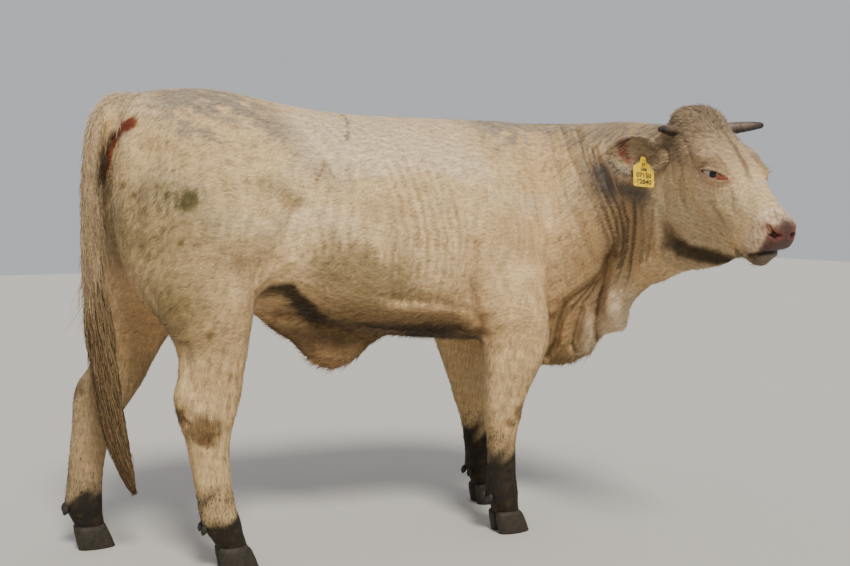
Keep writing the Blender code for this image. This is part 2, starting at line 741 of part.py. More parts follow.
def slab(name, cut, reach):
    """Return a sheet as thin as the gap that lies in a cut, as an object."""
    centre, ahead, across, upward = cut_axes(cut)
    turn = Matrix((across, upward, ahead)).transposed().to_4x4()
    bm = bmesh.new()
    shape = Matrix.Translation(centre) @ turn @ Matrix.Diagonal((2 * reach[0], 2 * reach[1], GAP, 1))
    bmesh.ops.create_cube(bm, size=1, matrix=shape)
    mesh = bpy.data.meshes.new(name)
    bm.to_mesh(mesh)
    bm.free()
    return add_object(name, mesh)


def combine(obj, tool, operation="DIFFERENCE", solver="MANIFOLD"):
    """Cut an object with another, or join them, and remove the tool."""
    boolean = obj.modifiers.new("combine", "BOOLEAN")
    boolean.object = tool
    boolean.operation = operation
    boolean.solver = solver
    applied(obj)
    drop_object(tool)
    return obj


def part_flesh(flesh):
    """Part the flesh with thin cuts into its named pieces."""
    for height, (x0, x1), (y0, y1) in LEVEL_CUTS:
        combine(flesh, box("cut", (x0, y0, height - GAP / 2), (x1, y1, height + GAP / 2)))
    combine(flesh, slab("cut", NECK_CUT, NECK_REACH))
    combine(flesh, slab("cut", HEAD_CUT, HEAD_REACH))
    return flesh


def piece_places():
    """Return roughly where the middle of each piece of flesh is."""
    places = {
        "torso": Vector((-0.05, 0, 0.90)),
        "neck": Vector((0.70, -0.20, 0.90)),
        "head": on_head(0.18, 0, -0.12),
        "tail_dock": Vector((-0.688, 0, 0.88)),
    }
    for name, stations in LEGS.items():
        knee = 0.40 if name.startswith("fore") else 0.48
        for part, level in (("upper", knee), ("lower", 0.18)):
            near = min(stations, key=lambda row: abs(row[0] - level))
            places[f"leg_{name}_{part}"] = Vector((near[1], near[2], level))
    return places


def islands(mesh):
    """Split a mesh into its separate closed surfaces, the largest first."""
    bm = bmesh.new()
    bm.from_mesh(mesh)
    bmesh.ops.triangulate(bm, faces=bm.faces)
    left = set(bm.verts)
    pieces = []
    while left:
        edge = [left.pop()]
        group = set(edge)
        while edge:
            for link in edge.pop().link_edges:
                for vert in link.verts:
                    if vert in left:
                        left.discard(vert)
                        group.add(vert)
                        edge.append(vert)
        order = {vert: k for k, vert in enumerate(group)}
        faces = [[order[v] for v in face.verts] for face in {f for v in group for f in v.link_faces}]
        piece = bpy.data.meshes.new("piece")
        piece.from_pydata([v.co for v in group], [], faces)
        shell = bmesh.new()
        shell.from_mesh(piece)
        face_out(shell)
        shell.to_mesh(piece)
        pieces.append((shell.calc_volume(), piece))
        shell.free()
    bm.free()
    return sorted(pieces, key=lambda pair: -pair[0])


def keep_largest(obj):
    """Keep only an object's largest closed surface."""
    pieces = islands(obj.data)
    old = obj.data
    obj.data = pieces[0][1]
    bpy.data.meshes.remove(old)
    for _, mesh in pieces[1:]:
        bpy.data.meshes.remove(mesh)
    return obj


def name_pieces(flesh, collection):
    """Turn each surface of the parted flesh into its named object."""
    places = piece_places()
    named = {}
    for _, mesh in islands(flesh.data):
        points = vertex_array(mesh)
        middle = Vector((points.min(axis=0) + points.max(axis=0)) / 2)
        name = min(places, key=lambda key: (places[key] - middle).length)
        if name in named:
            bpy.data.meshes.remove(mesh)
            continue
        mesh.name = name
        named[name] = add_object(name, mesh, collection)
    drop_object(flesh)
    return named


def swollen(flesh):
    """Return a copy of the flesh grown by at least the gap, to cut what stands on it."""
    mesh = flesh.data.copy()
    set_vertices(mesh, vertex_array(mesh) + vertex_array(mesh, "normals") * GAP * CORNER_ROOM)
    return add_object("swollen", mesh)


def fitted(obj, swollen_flesh):
    """Cut an object where it sinks into the flesh, so that the two meet face to face."""
    tool = add_object("tool", swollen_flesh.data.copy())
    combine(obj, tool)
    return keep_largest(obj)


def claw_rings(foot, side):
    """Rings of one claw of a foot, from its sole to its rim."""
    x, y = foot
    return [ring((x + ahead, y + CLAW_SPREAD * side, z), (0, 1, 0), (1, 0, 0), half_width,
                 half_length, half_length, 1.9, 2.6, CLAW_POINTS)
            for z, ahead, half_length, half_width in CLAW]


def hoof_objects(collection, flesh):
    """Make the two claws and the two dewclaws of each foot."""
    for name, stations in LEGS.items():
        foot = stations[-1][1:3]
        fetlock = stations[-4]
        for side, word in ((-1, "right"), (1, "left")):
            claw = add_object(f"claw_{name}_{word}", closed_mesh("claw", claw_rings(foot, side)), collection)
            fitted(claw, flesh)
            place = (fetlock[1] - DEWCLAW_BACK, fetlock[2] + DEWCLAW_SPREAD * side, fetlock[0] - DEWCLAW_DROP)
            mesh = ball("dewclaw", place, DEWCLAW_RADII, segments=DEWCLAW_SEGMENTS)
            fitted(add_object(f"dewclaw_{name}_{word}", mesh, collection), flesh)


def horn_objects(collection, flesh):
    """Make both horns."""
    for side, word in ((-1, "right"), (1, "left")):
        path = [(*on_head(x, y * side, z), r, r) for x, y, z, r in HORN]
        mesh = closed_mesh("horn", tube_rings(path, across=head_axes()[2], steps=2, count=HORN_POINTS))
        fitted(add_object(f"horn_{word}", mesh, collection), flesh)


def ear_directions(side):
    """Return the ear's lie, the way its cup faces, and the direction across it."""
    forward, left, up = head_axes()
    lie, face = EARS["left" if side > 0 else "right"]
    along = sum((a * b for a, b in zip((forward, left * side, up), lie)), Vector()).normalized()
    facing = sum((a * b for a, b in zip((forward, left * side, up), face)), Vector())
    facing = (facing - along * facing.dot(along)).normalized()
    return along, facing, along.cross(facing) * side


def ear_rings(side):
    """Rings of one ear: full ovals at its root that open into a cup."""
    along, facing, across = ear_directions(side)
    root = on_head(EAR_ROOT[0], EAR_ROOT[1] * side, EAR_ROOT[2])
    arc = [math.pi * (k / (EAR_ARC_POINTS - 1) - 0.5) for k in range(EAR_ARC_POINTS)]
    rings = []
    for share, width, back, hollow in refine(EAR_STATIONS, EAR_STEPS):
        middle = root + along * EAR_LENGTH * share
        outer = [middle + across * width * math.sin(a) - facing * (back * math.cos(a) + EAR_RIM / 2) for a in arc]
        inner = [middle + across * width * math.sin(a) - facing * (hollow * math.cos(a) - EAR_RIM / 2)
                 for a in reversed(arc)]
        rings.append(outer + inner)
    return rings


def ear_objects(collection, flesh):
    """Make both ears, each a cup on a root that meets the head."""
    ears = {}
    for side, word in ((-1, "right"), (1, "left")):
        ears[word] = add_object(f"ear_{word}", closed_mesh("ear", ear_rings(side)), collection)
        with_locks(ears[word], ear_locks(side))
        fitted(ears[word], flesh)
    return ears


def eye_objects(collection, head):
    """Open the lids and set both eyes in their sockets."""
    forward, left, up = head_axes()
    turn = Matrix((forward, left, up)).transposed()
    for side, word in ((-1, "right"), (1, "left")):
        centre = on_head(EYE_PLACE[0], EYE_PLACE[1] * side, EYE_PLACE[2])
        outward = sum((a * b for a, b in zip((forward, left * side, up), EYE_OUTWARD)), Vector()).normalized()
        along = forward * math.cos(EYE_SLANT) + up * math.sin(EYE_SLANT)
        along = (along - outward * along.dot(outward)).normalized()
        upward = along.cross(outward) * -side
        socket = EYE_RADIUS + GAP * 1.3
        tool = add_object("socket", ball("socket", centre, (socket,) * 3, turn, EYE_SEGMENTS))
        combine(head, tool)
        rings = [ring(centre + outward * depth, along, upward, LID_HALF_LENGTH, LID_RISE, LID_FALL, 1.5, 1.6, 16)
                 for depth in (0.006, 0.060)]
        combine(head, add_object("lids", closed_mesh("lids", rings)))
        add_object(f"eye_{word}", ball("eye", centre, (EYE_RADIUS,) * 3, turn, EYE_SEGMENTS), collection)
    keep_largest(head)


def lock_mesh(centres, outward, half_width):
    """Return one lock: a flat, tapered, bent solid along a line, closed at its root and to a tip."""
    bm = bmesh.new()
    rows = []
    for k, taper in enumerate(LOCK_TAPER):
        ahead = (centres[k + 1] - centres[k]).normalized()
        across = ahead.cross(outward[k]).normalized() * half_width * taper
        thick = across.cross(ahead).normalized() * half_width * taper * LOCK_FLATNESS
        corners = (centres[k] + across, centres[k] + thick, centres[k] - across, centres[k] - thick)
        rows.append([bm.verts.new(corner) for corner in corners])
    for lower, upper in zip(rows, rows[1:]):
        for a in range(4):
            b = (a + 1) % 4
            bm.faces.new((lower[a], lower[b], upper[b], upper[a]))
    tip = bm.verts.new(centres[-1])
    for a in range(4):
        bm.faces.new((rows[-1][a], rows[-1][(a + 1) % 4], tip))
    bm.faces.new(rows[0])
    face_out(bm)
    mesh = bpy.data.meshes.new("lock")
    bm.to_mesh(mesh)
    bm.free()
    return mesh


def with_locks(obj, meshes):
    """Join a body and its locks in one union and keep the largest surface."""
    locks = bpy.data.collections.new("locks")
    bpy.context.scene.collection.children.link(locks)
    for mesh in meshes:
        add_object("lock", mesh, locks)
    union = obj.modifiers.new("locks", "BOOLEAN")
    union.operation = "UNION"
    union.operand_type = "COLLECTION"
    union.collection = locks
    union.solver = "MANIFOLD"
    applied(obj)
    for lock in list(locks.objects):
        drop_object(lock)
    bpy.data.collections.remove(locks)
    return keep_largest(obj)


def along_path(rows, share):
    """Return the station at a share of a row of stations that lie evenly apart."""
    place = min(max(share, 0), 1) * (len(rows) - 1)
    k = min(int(place), len(rows) - 2)
    return rows[k] + (rows[k + 1] - rows[k]) * (place - k)


def switch_locks():
    """Return the locks of the switch, which start round its core and run down to its tip."""
    chance = random.Random(SEED)
    rows = refine(SWITCH, 4)
    meshes = []
    for n in range(SWITCH_LOCKS):
        start = 0.05 + (SWITCH_LAST_START - 0.05) * (n / (SWITCH_LOCKS - 1))
        reach = chance.uniform(*SWITCH_LOCK_SHARE)
        angle = n * GOLDEN_ANGLE + chance.uniform(-0.25, 0.25)
        twist = chance.uniform(-0.8, 0.8)
        phase = chance.uniform(0, 2 * math.pi)
        centres, outward = [], []
        for t in LOCK_STATIONS + (1.0,):
            row = along_path(rows, start + reach * t)
            turned = angle + twist * t
            lie = Vector((math.sin(turned), math.cos(turned), 0))
            across = Vector((lie.y, -lie.x, 0))
            spread = SWITCH_CORE_SHARE * 0.6 + (0.92 - SWITCH_CORE_SHARE * 0.6) * math.sin(math.pi * min(t, 0.8) / 1.6)
            wave = SWITCH_WAVE * math.sin(phase + 5 * t) * min(1, row[3] / 0.03)
            centre = Vector(row[:3]) + Vector((lie.x * row[4], lie.y * row[3], 0)) * spread + across * wave
            centres.append(centre)
            outward.append(lie)
        meshes.append(lock_mesh(centres, outward, SWITCH_LOCK_HALF_WIDTH * chance.uniform(0.85, 1.15)))
    return meshes


def tail_switch(collection, flesh):
    """Make the switch of the tail: a slim core with locks grown from it."""
    rows = refine(SWITCH, 2)
    kept = [row for k, row in enumerate(rows) if k / (len(rows) - 1) <= SWITCH_CORE_END]
    core = []
    for k, row in enumerate(kept):
        share = 1 if k < 2 else SWITCH_CORE_SHARE
        core.append((*row[:3], row[3] * share, row[4] * share))
    mesh = closed_mesh("switch", tube_rings(core, steps=1, count=10))
    switch = add_object("tail_switch", mesh, collection)
    with_locks(switch, switch_locks())
    return fitted(switch, flesh)


def ear_locks(side):
    """Return the long hair that hangs from the lower rim of an ear towards its tip."""
    chance = random.Random(SEED + side)
    along, facing, across = ear_directions(side)
    root = on_head(EAR_ROOT[0], EAR_ROOT[1] * side, EAR_ROOT[2])
    rows = refine(EAR_STATIONS, 6)
    shares = [row[0] for row in rows]
    meshes = []
    for share in EAR_LOCKS:
        row = rows[min(range(len(rows)), key=lambda k: abs(shares[k] - share))]
        lie = (across * chance.uniform(0.30, 0.55) + along * chance.uniform(0.7, 1.0)
               + facing * chance.uniform(-0.05, 0.15)).normalized()
        start = root + along * EAR_LENGTH * row[0] + across * (row[1] - 0.006)
        reach = EAR_LOCK_LENGTH * chance.uniform(0.8, 1.1)
        bend = across * chance.uniform(0.15, 0.35) * reach
        centres = [start + lie * reach * t + bend * t * t for t in LOCK_STATIONS + (1.0,)]
        meshes.append(lock_mesh(centres, [facing] * len(centres), EAR_LOCK_HALF_WIDTH))
    return meshes


def plate(name, points, thickness, corner):
    """Return a flat plate from the outline of a filled curve, with its edges eased."""
    curve = bpy.data.curves.new(name, "CURVE")
    curve.dimensions = "2D"
    curve.fill_mode = "BOTH"
    curve.extrude = thickness / 2
    spline = curve.splines.new("POLY")
    spline.points.add(len(points) - 1)
    for point, (x, y) in zip(spline.points, points):
        point.co = (x, y, 0, 1)
    spline.use_cyclic_u = True
    outline = add_object(name, curve)
    mesh = bpy.data.meshes.new_from_object(outline.evaluated_get(bpy.context.evaluated_depsgraph_get()))
    bpy.data.objects.remove(outline, do_unlink=True)
    bm = bmesh.new()
    bm.from_mesh(mesh)
    bmesh.ops.remove_doubles(bm, verts=bm.verts, dist=corner)
    bmesh.ops.recalc_face_normals(bm, faces=bm.faces)
    bm.to_mesh(mesh)
    bm.free()
    return mesh


def tag_outline():
    """Return the outline of the tag's plate: a square with shoulders up to a narrow neck."""
    half = TAG_WIDTH / 2
    stem = TAG_WIDTH * 0.13
    right = [(stem * 0.6, 0.007), (stem, 0.002), (stem, -0.006), (half, -0.022),
             (half, -TAG_HEIGHT * 0.94), (half * 0.93, -TAG_HEIGHT)]
    return right + [(-x, y) for x, y in reversed(right)]


def tag_axes():
    """Return the stud's place on the plate, the ear's facing, and the plate's across and up."""
    along, facing, across = ear_directions(-1)
    root = on_head(EAR_ROOT[0], -EAR_ROOT[1], EAR_ROOT[2])
    place = root + along * EAR_LENGTH * TAG_SHARE + across * TAG_DOWN - facing * TAG_DEPTH
    up = -(across * math.cos(TAG_TILT) + facing * math.sin(TAG_TILT))
    return place, facing, along, up


def rod(name, start, axis, length, radius, segments=12):
    """Return a round rod from a point along an axis, as an object."""
    bm = bmesh.new()
    turn = axis.to_track_quat("Z", "Y").to_matrix().to_4x4()
    shape = Matrix.Translation(start + axis * length / 2) @ turn
    bmesh.ops.create_cone(bm, cap_ends=True, segments=segments, radius1=radius, radius2=radius,
                          depth=abs(length), matrix=shape)
    mesh = bpy.data.meshes.new(name)
    bm.to_mesh(mesh)
    bm.free()
    return add_object(name, mesh)


def ear_tag(collection, ear):
    """Make the tag of the right ear, one plate on a stud with a button behind, and the hole for it."""
    place, facing, across, up = tag_axes()
    mesh = plate("ear_tag", tag_outline(), TAG_THICKNESS, MERGE)
    turn = Matrix((across, up, across.cross(up))).transposed().to_4x4()
    mesh.transform(Matrix.Translation(place) @ turn)
    tag = add_object("ear_tag", mesh, collection)
    reach = STUD_END - TAG_DEPTH
    combine(tag, rod("stud", place - facing * reach, facing, reach + 0.0005, STUD_RADIUS), "UNION")
    combine(tag, rod("button", place - facing * reach, facing, BUTTON_THICKNESS, BUTTON_RADIUS, 16), "UNION")
    combine(ear, rod("hole", place - facing * 2 * reach, facing, 2 * reach, STUD_RADIUS + GAP))
    keep_largest(ear)
    return keep_largest(tag)


def centred(objects):
    """Move everything so that the middle of its footprint at floor level is the origin."""
    corners = np.vstack([vertex_array(obj.data) for obj in objects])
    low, high = corners.min(axis=0), corners.max(axis=0)
    shift = np.array([-(low[0] + high[0]) / 2, -(low[1] + high[1]) / 2, -low[2]])
    for obj in objects:
        set_vertices(obj.data, vertex_array(obj.data) + shift)
    return shift


def material(name, colour, roughness):
    """Return a plain material."""
    made = bpy.data.materials.new(name)
    made.use_nodes = True
    shader = made.node_tree.nodes["Principled BSDF"]
    shader.inputs["Base Color"].default_value = (*colour, 1)
    shader.inputs["Roughness"].default_value = roughness
    made.diffuse_color = (*colour, 1)
    return made


def finish(objects):
    """Dress every piece, give it an origin in its middle and hang it from one empty."""
    dressed = {name: material(name, colour, roughness) for name, (colour, roughness) in FINISHES.items()}
    anchor = bpy.data.objects.new("animal", None)
    bpy.context.scene.collection.objects.link(anchor)
    for obj in objects:
        kind = next((word for word in FINISHES if obj.name.startswith(word)), "coat")
        obj.data.materials.clear()
        obj.data.materials.append(dressed[kind])
        obj.data.shade_smooth()
        obj.data.set_sharp_from_angle(angle=SHARP_ANGLE)
        points = vertex_array(obj.data)
        middle = (points.min(axis=0) + points.max(axis=0)) / 2
        set_vertices(obj.data, points - middle)
        obj.location = middle
        obj.parent = anchor


def main():
    """Build the animal."""
    for old in list(bpy.data.objects):
        bpy.data.objects.remove(old, do_unlink=True)
    animal = bpy.data.collections.new("charolais_yearling")
    bpy.context.scene.collection.children.link(animal)
    flesh = thin_out(fused_flesh())
    around = swollen(flesh)
    hoof_objects(animal, around)
    horn_objects(animal, around)
    ears = ear_objects(animal, around)
    tail_switch(animal, around)
    ear_tag(animal, ears["right"])
    drop_object(around)
    pieces = name_pieces(part_flesh(flesh), animal)
    eye_objects(animal, pieces["head"])
    objects = list(animal.objects)
    shift = centred(objects)
    finish(objects)
    return shift


if __name__ == "__main__":
    main()
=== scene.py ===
"""Charolais yearling: the look of the coat, skin, head and hair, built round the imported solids.

X points to the animal's front, Y to its left and Z up; every length is in metres.
"""
import logging
import math
from collections.abc import Callable
from dataclasses import dataclass, field
from enum import Enum

import bmesh
import bpy
import numpy as np
from mathutils import Matrix, Vector


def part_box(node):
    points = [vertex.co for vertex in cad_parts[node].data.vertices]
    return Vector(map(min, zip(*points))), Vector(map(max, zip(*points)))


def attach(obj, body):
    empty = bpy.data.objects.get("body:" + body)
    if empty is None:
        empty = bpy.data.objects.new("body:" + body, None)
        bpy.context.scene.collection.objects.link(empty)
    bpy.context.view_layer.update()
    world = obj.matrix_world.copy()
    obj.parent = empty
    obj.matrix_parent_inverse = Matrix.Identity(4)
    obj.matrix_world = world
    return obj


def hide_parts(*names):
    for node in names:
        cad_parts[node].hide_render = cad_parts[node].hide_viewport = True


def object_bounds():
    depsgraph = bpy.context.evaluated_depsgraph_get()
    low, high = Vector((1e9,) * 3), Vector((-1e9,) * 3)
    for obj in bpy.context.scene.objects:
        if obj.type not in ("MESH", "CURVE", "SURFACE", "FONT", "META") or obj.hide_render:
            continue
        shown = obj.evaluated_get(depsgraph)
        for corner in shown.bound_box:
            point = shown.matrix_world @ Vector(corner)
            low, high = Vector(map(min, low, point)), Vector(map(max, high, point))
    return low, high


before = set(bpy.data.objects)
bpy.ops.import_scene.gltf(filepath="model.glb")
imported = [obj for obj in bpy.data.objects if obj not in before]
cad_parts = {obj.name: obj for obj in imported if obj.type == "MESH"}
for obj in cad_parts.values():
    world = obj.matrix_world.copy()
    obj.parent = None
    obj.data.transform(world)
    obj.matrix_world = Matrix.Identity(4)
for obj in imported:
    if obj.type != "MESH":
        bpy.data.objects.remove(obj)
CAD_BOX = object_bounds()
LOG = logging.getLogger("charolais")
Array = np.ndarray
ROOT = "root"
IMAGE_WIDTH = 850
MM = 0.001
Path = tuple[tuple[float, ...], ...]
Lay = Callable[[str, Array], None]


class Region(Enum):
    """Parts of the body whose coat is laid in one piece."""

    TRUNK = "trunk"
    NECK = "neck"
    HEAD = "head"
    FORE_LEGS = "fore_legs"
    HIND_LEGS = "hind_legs"
    DOCK = "dock"


class Side(Enum):
    """Sides of the animal as it stands."""

    RIGHT = -1
    LEFT = 1

    @property
    def word(self) -> str:
        """The side's name in the names of nodes."""
        return self.name.lower()


# Numbers and colours


def linear(hex_colour: str) -> tuple[float, float, float]:
    """Turn an sRGB hex value into linear light.

    Args:
        hex_colour: Six hex digits with a leading #.

    Returns:
        Red, green and blue from 0 to 1.
    """
    values = [int(hex_colour[i:i + 2], 16) / 255 for i in (1, 3, 5)]
    return tuple(v / 12.92 if v <= 0.04045 else ((v + 0.055) / 1.055) ** 2.4 for v in values)


def tint(hex_colour: str) -> Array:
    """Return a hex colour as an array of linear light."""
    return np.array(linear(hex_colour))


def ramp(values: Array, low: float, high: float) -> Array:
    """Rise smoothly from 0 at low to 1 at high, or fall where low is above high.

    Args:
        values: Numbers to ease.
        low: Where the result is 0.
        high: Where the result is 1.

    Returns:
        Shares from 0 to 1.
    """
    share = np.clip((values - low) / (high - low), 0, 1)
    return share * share * (3 - 2 * share)


def unit(vectors: Array) -> Array:
    """Return vectors at a length of one."""
    return vectors / np.maximum(np.linalg.norm(vectors, axis=-1, keepdims=True), 1e-9)


def path_distance(points: Array, path: Path) -> Array:
    """Measure how far each point lies from a bent line.

    Args:
        points: Places to measure from.
        path: Corners of the line.

    Returns:
        One distance for each point.
    """
    corners = np.array(path, dtype=float)
    best = np.full(len(points), np.inf)
    for a, b in zip(corners[:-1], corners[1:]):
        along = b - a
        t = np.clip((points - a) @ along / (along @ along), 0, 1)
        best = np.minimum(best, np.linalg.norm(points - a - t[:, None] * along, axis=1))
    return best


def waves(points: Array, size: float, seed: int, octaves: int = 3) -> Array:
    """Make soft, seeded blotches as a sum of turned sine waves.

    Args:
        points: Places to value.
        size: Length of the longest wave.
        seed: Seed of the turns and phases.
        octaves: How many times the waves halve.

    Returns:
        Values from about -1 to 1.
    """
    chance = np.random.default_rng(seed)
    total = np.zeros(len(points))
    weight = 0.0
    for octave in range(octaves):
        scale = 2 * math.pi / size * 1.9 ** octave
        for _ in range(4):
            turn = unit(chance.normal(size=3))
            total += np.sin(points @ turn * scale + chance.uniform(0, 6.28)) * 0.6 ** octave
        weight += 0.6 ** octave * 2.0
    return total / weight


def grain(points: Array, seed: int) -> Array:
    """Return an unrelated value from 0 to 1 for each place, for speckles of mud."""
    turn = np.random.default_rng(seed).uniform(900, 1900, 3)
    return np.modf(np.abs(np.sin(points @ turn) * 43758.5))[0]


# The head's own frame, and the shift from the design's places to the frame's


@dataclass(frozen=True)
class HeadFrame:
    """Axes of the head: x along the face, y to its left, z out of the forehead."""

    poll: Vector = Vector((0.804, -0.548, 1.169))
    yaw: float = math.radians(-84)
    pitch: float = math.radians(36.7)
    roll: float = math.radians(4.2)
    eye: tuple[float, float, float] = (0.193, 0.0645, -0.036)

    @property
    def axes(self) -> tuple[Vector, Vector, Vector]:
        """Forward, left and upward unit vectors.

        Returns:
            The three directions.
        """
        forward = Vector((
            math.cos(self.yaw) * math.cos(self.pitch),
            math.sin(self.yaw) * math.cos(self.pitch),
            -math.sin(self.pitch),
        ))
        left = Vector((-math.sin(self.yaw), math.cos(self.yaw), 0))
        left.rotate(Matrix.Rotation(self.roll, 3, forward))
        return forward, left, forward.cross(left)

    def place(self, x: float, y: float, z: float) -> Vector:
        """Turn a place of the head into a place of the frame."""
        forward, left, up = self.axes
        return self.poll + forward * x + left * y + up * z + SHIFT

    def local(self, points: Array) -> Array:
        """Turn places of the frame into places of the head."""
        return (points - np.array(self.poll) - np.array(SHIFT)) @ np.array(self.axes).T

    def near(self, local: Array, reach: float = 0.33) -> Array:
        """Say which places in the head's frame lie near its middle."""
        return np.linalg.norm(local - (0.2, 0, -0.1), axis=1) < reach

    def jaw_rear(self, local: Array) -> Array:
        """Give how far places in the head's frame lie ahead of the rear edge of the jaw."""
        return local[:, 0] + 0.877 * local[:, 2] + 0.097

    def neck_side(self, points: Array) -> Array:
        """Say which places lie behind the jaw or below the throat."""
        local = self.local(points)
        return np.maximum(ramp(self.jaw_rear(local), 0.000, -0.030), ramp(local[:, 2], -0.268, -0.292))

    def eye_centre(self, side: Side) -> Vector:
        """Return the middle of an eyeball."""
        return self.place(self.eye[0], self.eye[1] * side.value, self.eye[2])

    def direction(self, parts: tuple[float, float, float], side: Side) -> Vector:
        """Return a unit direction given along the face, outward and upward on one side."""
        forward, left, up = self.axes
        return (forward * parts[0] + left * parts[1] * side.value + up * parts[2]).normalized()


SHIFT = Vector((0, 0, 0))
HEAD = HeadFrame()
_low, _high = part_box("eye_right")
SHIFT = (_low + _high) / 2 - HEAD.eye_centre(Side.RIGHT)


def to_design(points: Array) -> Array:
    """Turn places of the frame into places of the design."""
    return points - np.array(SHIFT)


# Meshes and materials


def new_object(name: str, data: bpy.types.ID) -> bpy.types.Object:
    """Put an object with the given data in the scene.

    Args:
        name: Name of the object.
        data: Its mesh, curve, camera or light.

    Returns:
        The new object.
    """
    made = bpy.data.objects.new(name, data)
    bpy.context.scene.collection.objects.link(made)
    return made


def worked_out(obj: bpy.types.Object) -> bpy.types.Mesh:
    """Return the mesh that an object's modifiers or text come to."""
    return bpy.data.meshes.new_from_object(obj.evaluated_get(bpy.context.evaluated_depsgraph_get()))


def install(piece: bpy.types.Object, material: bpy.types.Material, slot: str, *nodes: str) -> None:
    """Give a piece its finish and its place in the model, and report it.

    Args:
        piece: Piece of the visual model.
        material: Its finish.
        slot: Not used.
        *nodes: Solids that it stands for.
    """
    piece.data.materials.clear()
    piece.data.materials.append(material)
    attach(piece, ROOT)
    if nodes:
        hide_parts(*nodes)
    LOG.info("piece %s: %d faces", piece.name, len(piece.data.polygons))


def mesh_object(name: str, points: Array, faces: Array, colours: Array | None = None,
                smooth: bool = True) -> bpy.types.Object:
    """Put a mesh made of arrays in the scene.

    Args:
        name: Name of the piece.
        points: Places of the vertices.
        faces: Vertex numbers of the faces, all with the same number of corners.
        colours: Linear colour of each vertex, kept as the attribute Col.
        smooth: Whether the shading runs smoothly over the faces.

    Returns:
        The new object.
    """
    mesh = bpy.data.meshes.new(name)
    count, corners = faces.shape
    mesh.vertices.add(len(points))
    mesh.vertices.foreach_set("co", points.astype(np.float32).ravel())
    mesh.loops.add(count * corners)
    mesh.loops.foreach_set("vertex_index", faces.astype(np.int32).ravel())
    mesh.polygons.add(count)
    mesh.polygons.foreach_set("loop_start", np.arange(0, count * corners, corners, dtype=np.int32))
    mesh.polygons.foreach_set("use_smooth", np.full(count, smooth))
    mesh.update(calc_edges=True)
    if colours is not None:
        paint(mesh, colours)
    return new_object(name, mesh)


def paint(mesh: bpy.types.Mesh, colours: Array) -> None:
    """Keep a linear colour for each vertex in the attribute Col.

    Args:
        mesh: Mesh to colour.
        colours: Red, green and blue of each vertex.
    """
    layer = mesh.color_attributes.get("Col") or mesh.color_attributes.new("Col", "FLOAT_COLOR", "POINT")
    rgba = np.ones((len(colours), 4), dtype=np.float32)
    rgba[:, :3] = np.clip(colours, 0, 1)
    layer.data.foreach_set("color", rgba.ravel())


def keep_value(mesh: bpy.types.Mesh, name: str, values: Array) -> None:
    """Keep one number for each vertex in a named attribute."""
    layer = mesh.attributes.get(name) or mesh.attributes.new(name, "FLOAT", "POINT")
    layer.data.foreach_set("value", values.astype(np.float32))


def keep_vectors(mesh: bpy.types.Mesh, name: str, vectors: Array) -> None:
    """Keep one vector for each vertex in a named attribute."""
    layer = mesh.attributes.new(name, "FLOAT_VECTOR", "POINT")
    layer.data.foreach_set("vector", vectors.astype(np.float32).ravel())


def places(mesh: bpy.types.Mesh) -> Array:
    """Return the places of a mesh's vertices.

    Args:
        mesh: Mesh of the piece.

    Returns:
        One row for each vertex.
    """
    flat = np.empty(len(mesh.vertices) * 3, dtype=np.float32)
    mesh.vertices.foreach_get("co", flat)
    return flat.reshape(-1, 3).astype(float)


def outward(mesh: bpy.types.Mesh) -> Array:
    """Return the normals of a mesh's vertices.

    Args:
        mesh: Mesh of the piece.

    Returns:
        One row for each vertex.
    """
    flat = np.empty(len(mesh.vertices) * 3, dtype=np.float32)
    mesh.vertex_normals.foreach_get("vector", flat)
    return flat.reshape(-1, 3).astype(float)


def move(mesh: bpy.types.Mesh, points: Array) -> None:
    """Set the places of a mesh's vertices."""
    mesh.vertices.foreach_set("co", points.astype(np.float32).ravel())
    mesh.update()


def ring_faces(rings: int, corners: int, looped: bool = False) -> Array:
    """Join rings of vertices with triangles.

    Args:
        rings: Number of rings, whose vertices come in order.
        corners: Vertices of each ring.
        looped: Whether the last ring joins the first; otherwise two more vertices close the ends.

    Returns:
        Triangles.
    """
    first = np.arange(corners)
    after = (first + 1) % corners
    faces = []
    for ring in range(rings if looped else rings - 1):
        low, high = ring * corners, (ring + 1) % rings * corners
        faces += [np.stack([low + first, low + after, high + after], 1),
                  np.stack([low + first, high + after, high + first], 1)]
    if not looped:
        last, end = (rings - 1) * corners, rings * corners
        faces += [np.stack([after, first, np.full(corners, end)], 1),
                  np.stack([first + last, after + last, np.full(corners, end + 1)], 1)]
    return np.vstack(faces)


def tube(points: Array, radii: Array, across: Array, corners: int,
         flat: Array | float = 1.0) -> tuple[Array, Array]:
    """Skin a closed tube along a line.

    Args:
        points: Middle of each ring.
        radii: Radius of each ring across the line.
        across: A direction that is roughly square to the line, for each ring or for all.
        corners: Corners of each ring.
        flat: Thickness over width of each ring.

    Returns:
        Vertices and triangles.
    """
    rings = len(points)
    ahead = unit(np.gradient(points, axis=0))
    side = unit(np.cross(ahead, np.broadcast_to(across, points.shape)))
    up = np.cross(side, ahead)
    angle = np.arange(corners) * 2 * math.pi / corners
    radii = np.broadcast_to(radii, rings)[:, None, None]
    flat = np.broadcast_to(flat, rings)[:, None, None]
    body = points[:, None] + radii * (side[:, None] * np.cos(angle)[None, :, None]
                                      + up[:, None] * np.sin(angle)[None, :, None] * flat)
    return np.vstack([body.reshape(-1, 3), points[:1], points[-1:]]), ring_faces(rings, corners)


def joined(parts: list[tuple[Array, Array]]) -> tuple[Array, Array]:
    """Join several meshes of vertices and triangles into one.

    Args:
        parts: Vertices and triangles of each mesh.

    Returns:
        Vertices and triangles of all.
    """
    starts = np.cumsum([0] + [len(v) for v, _ in parts[:-1]])
    return (np.vstack([v for v, _ in parts]),
            np.vstack([f + start for (_, f), start in zip(parts, starts)]))


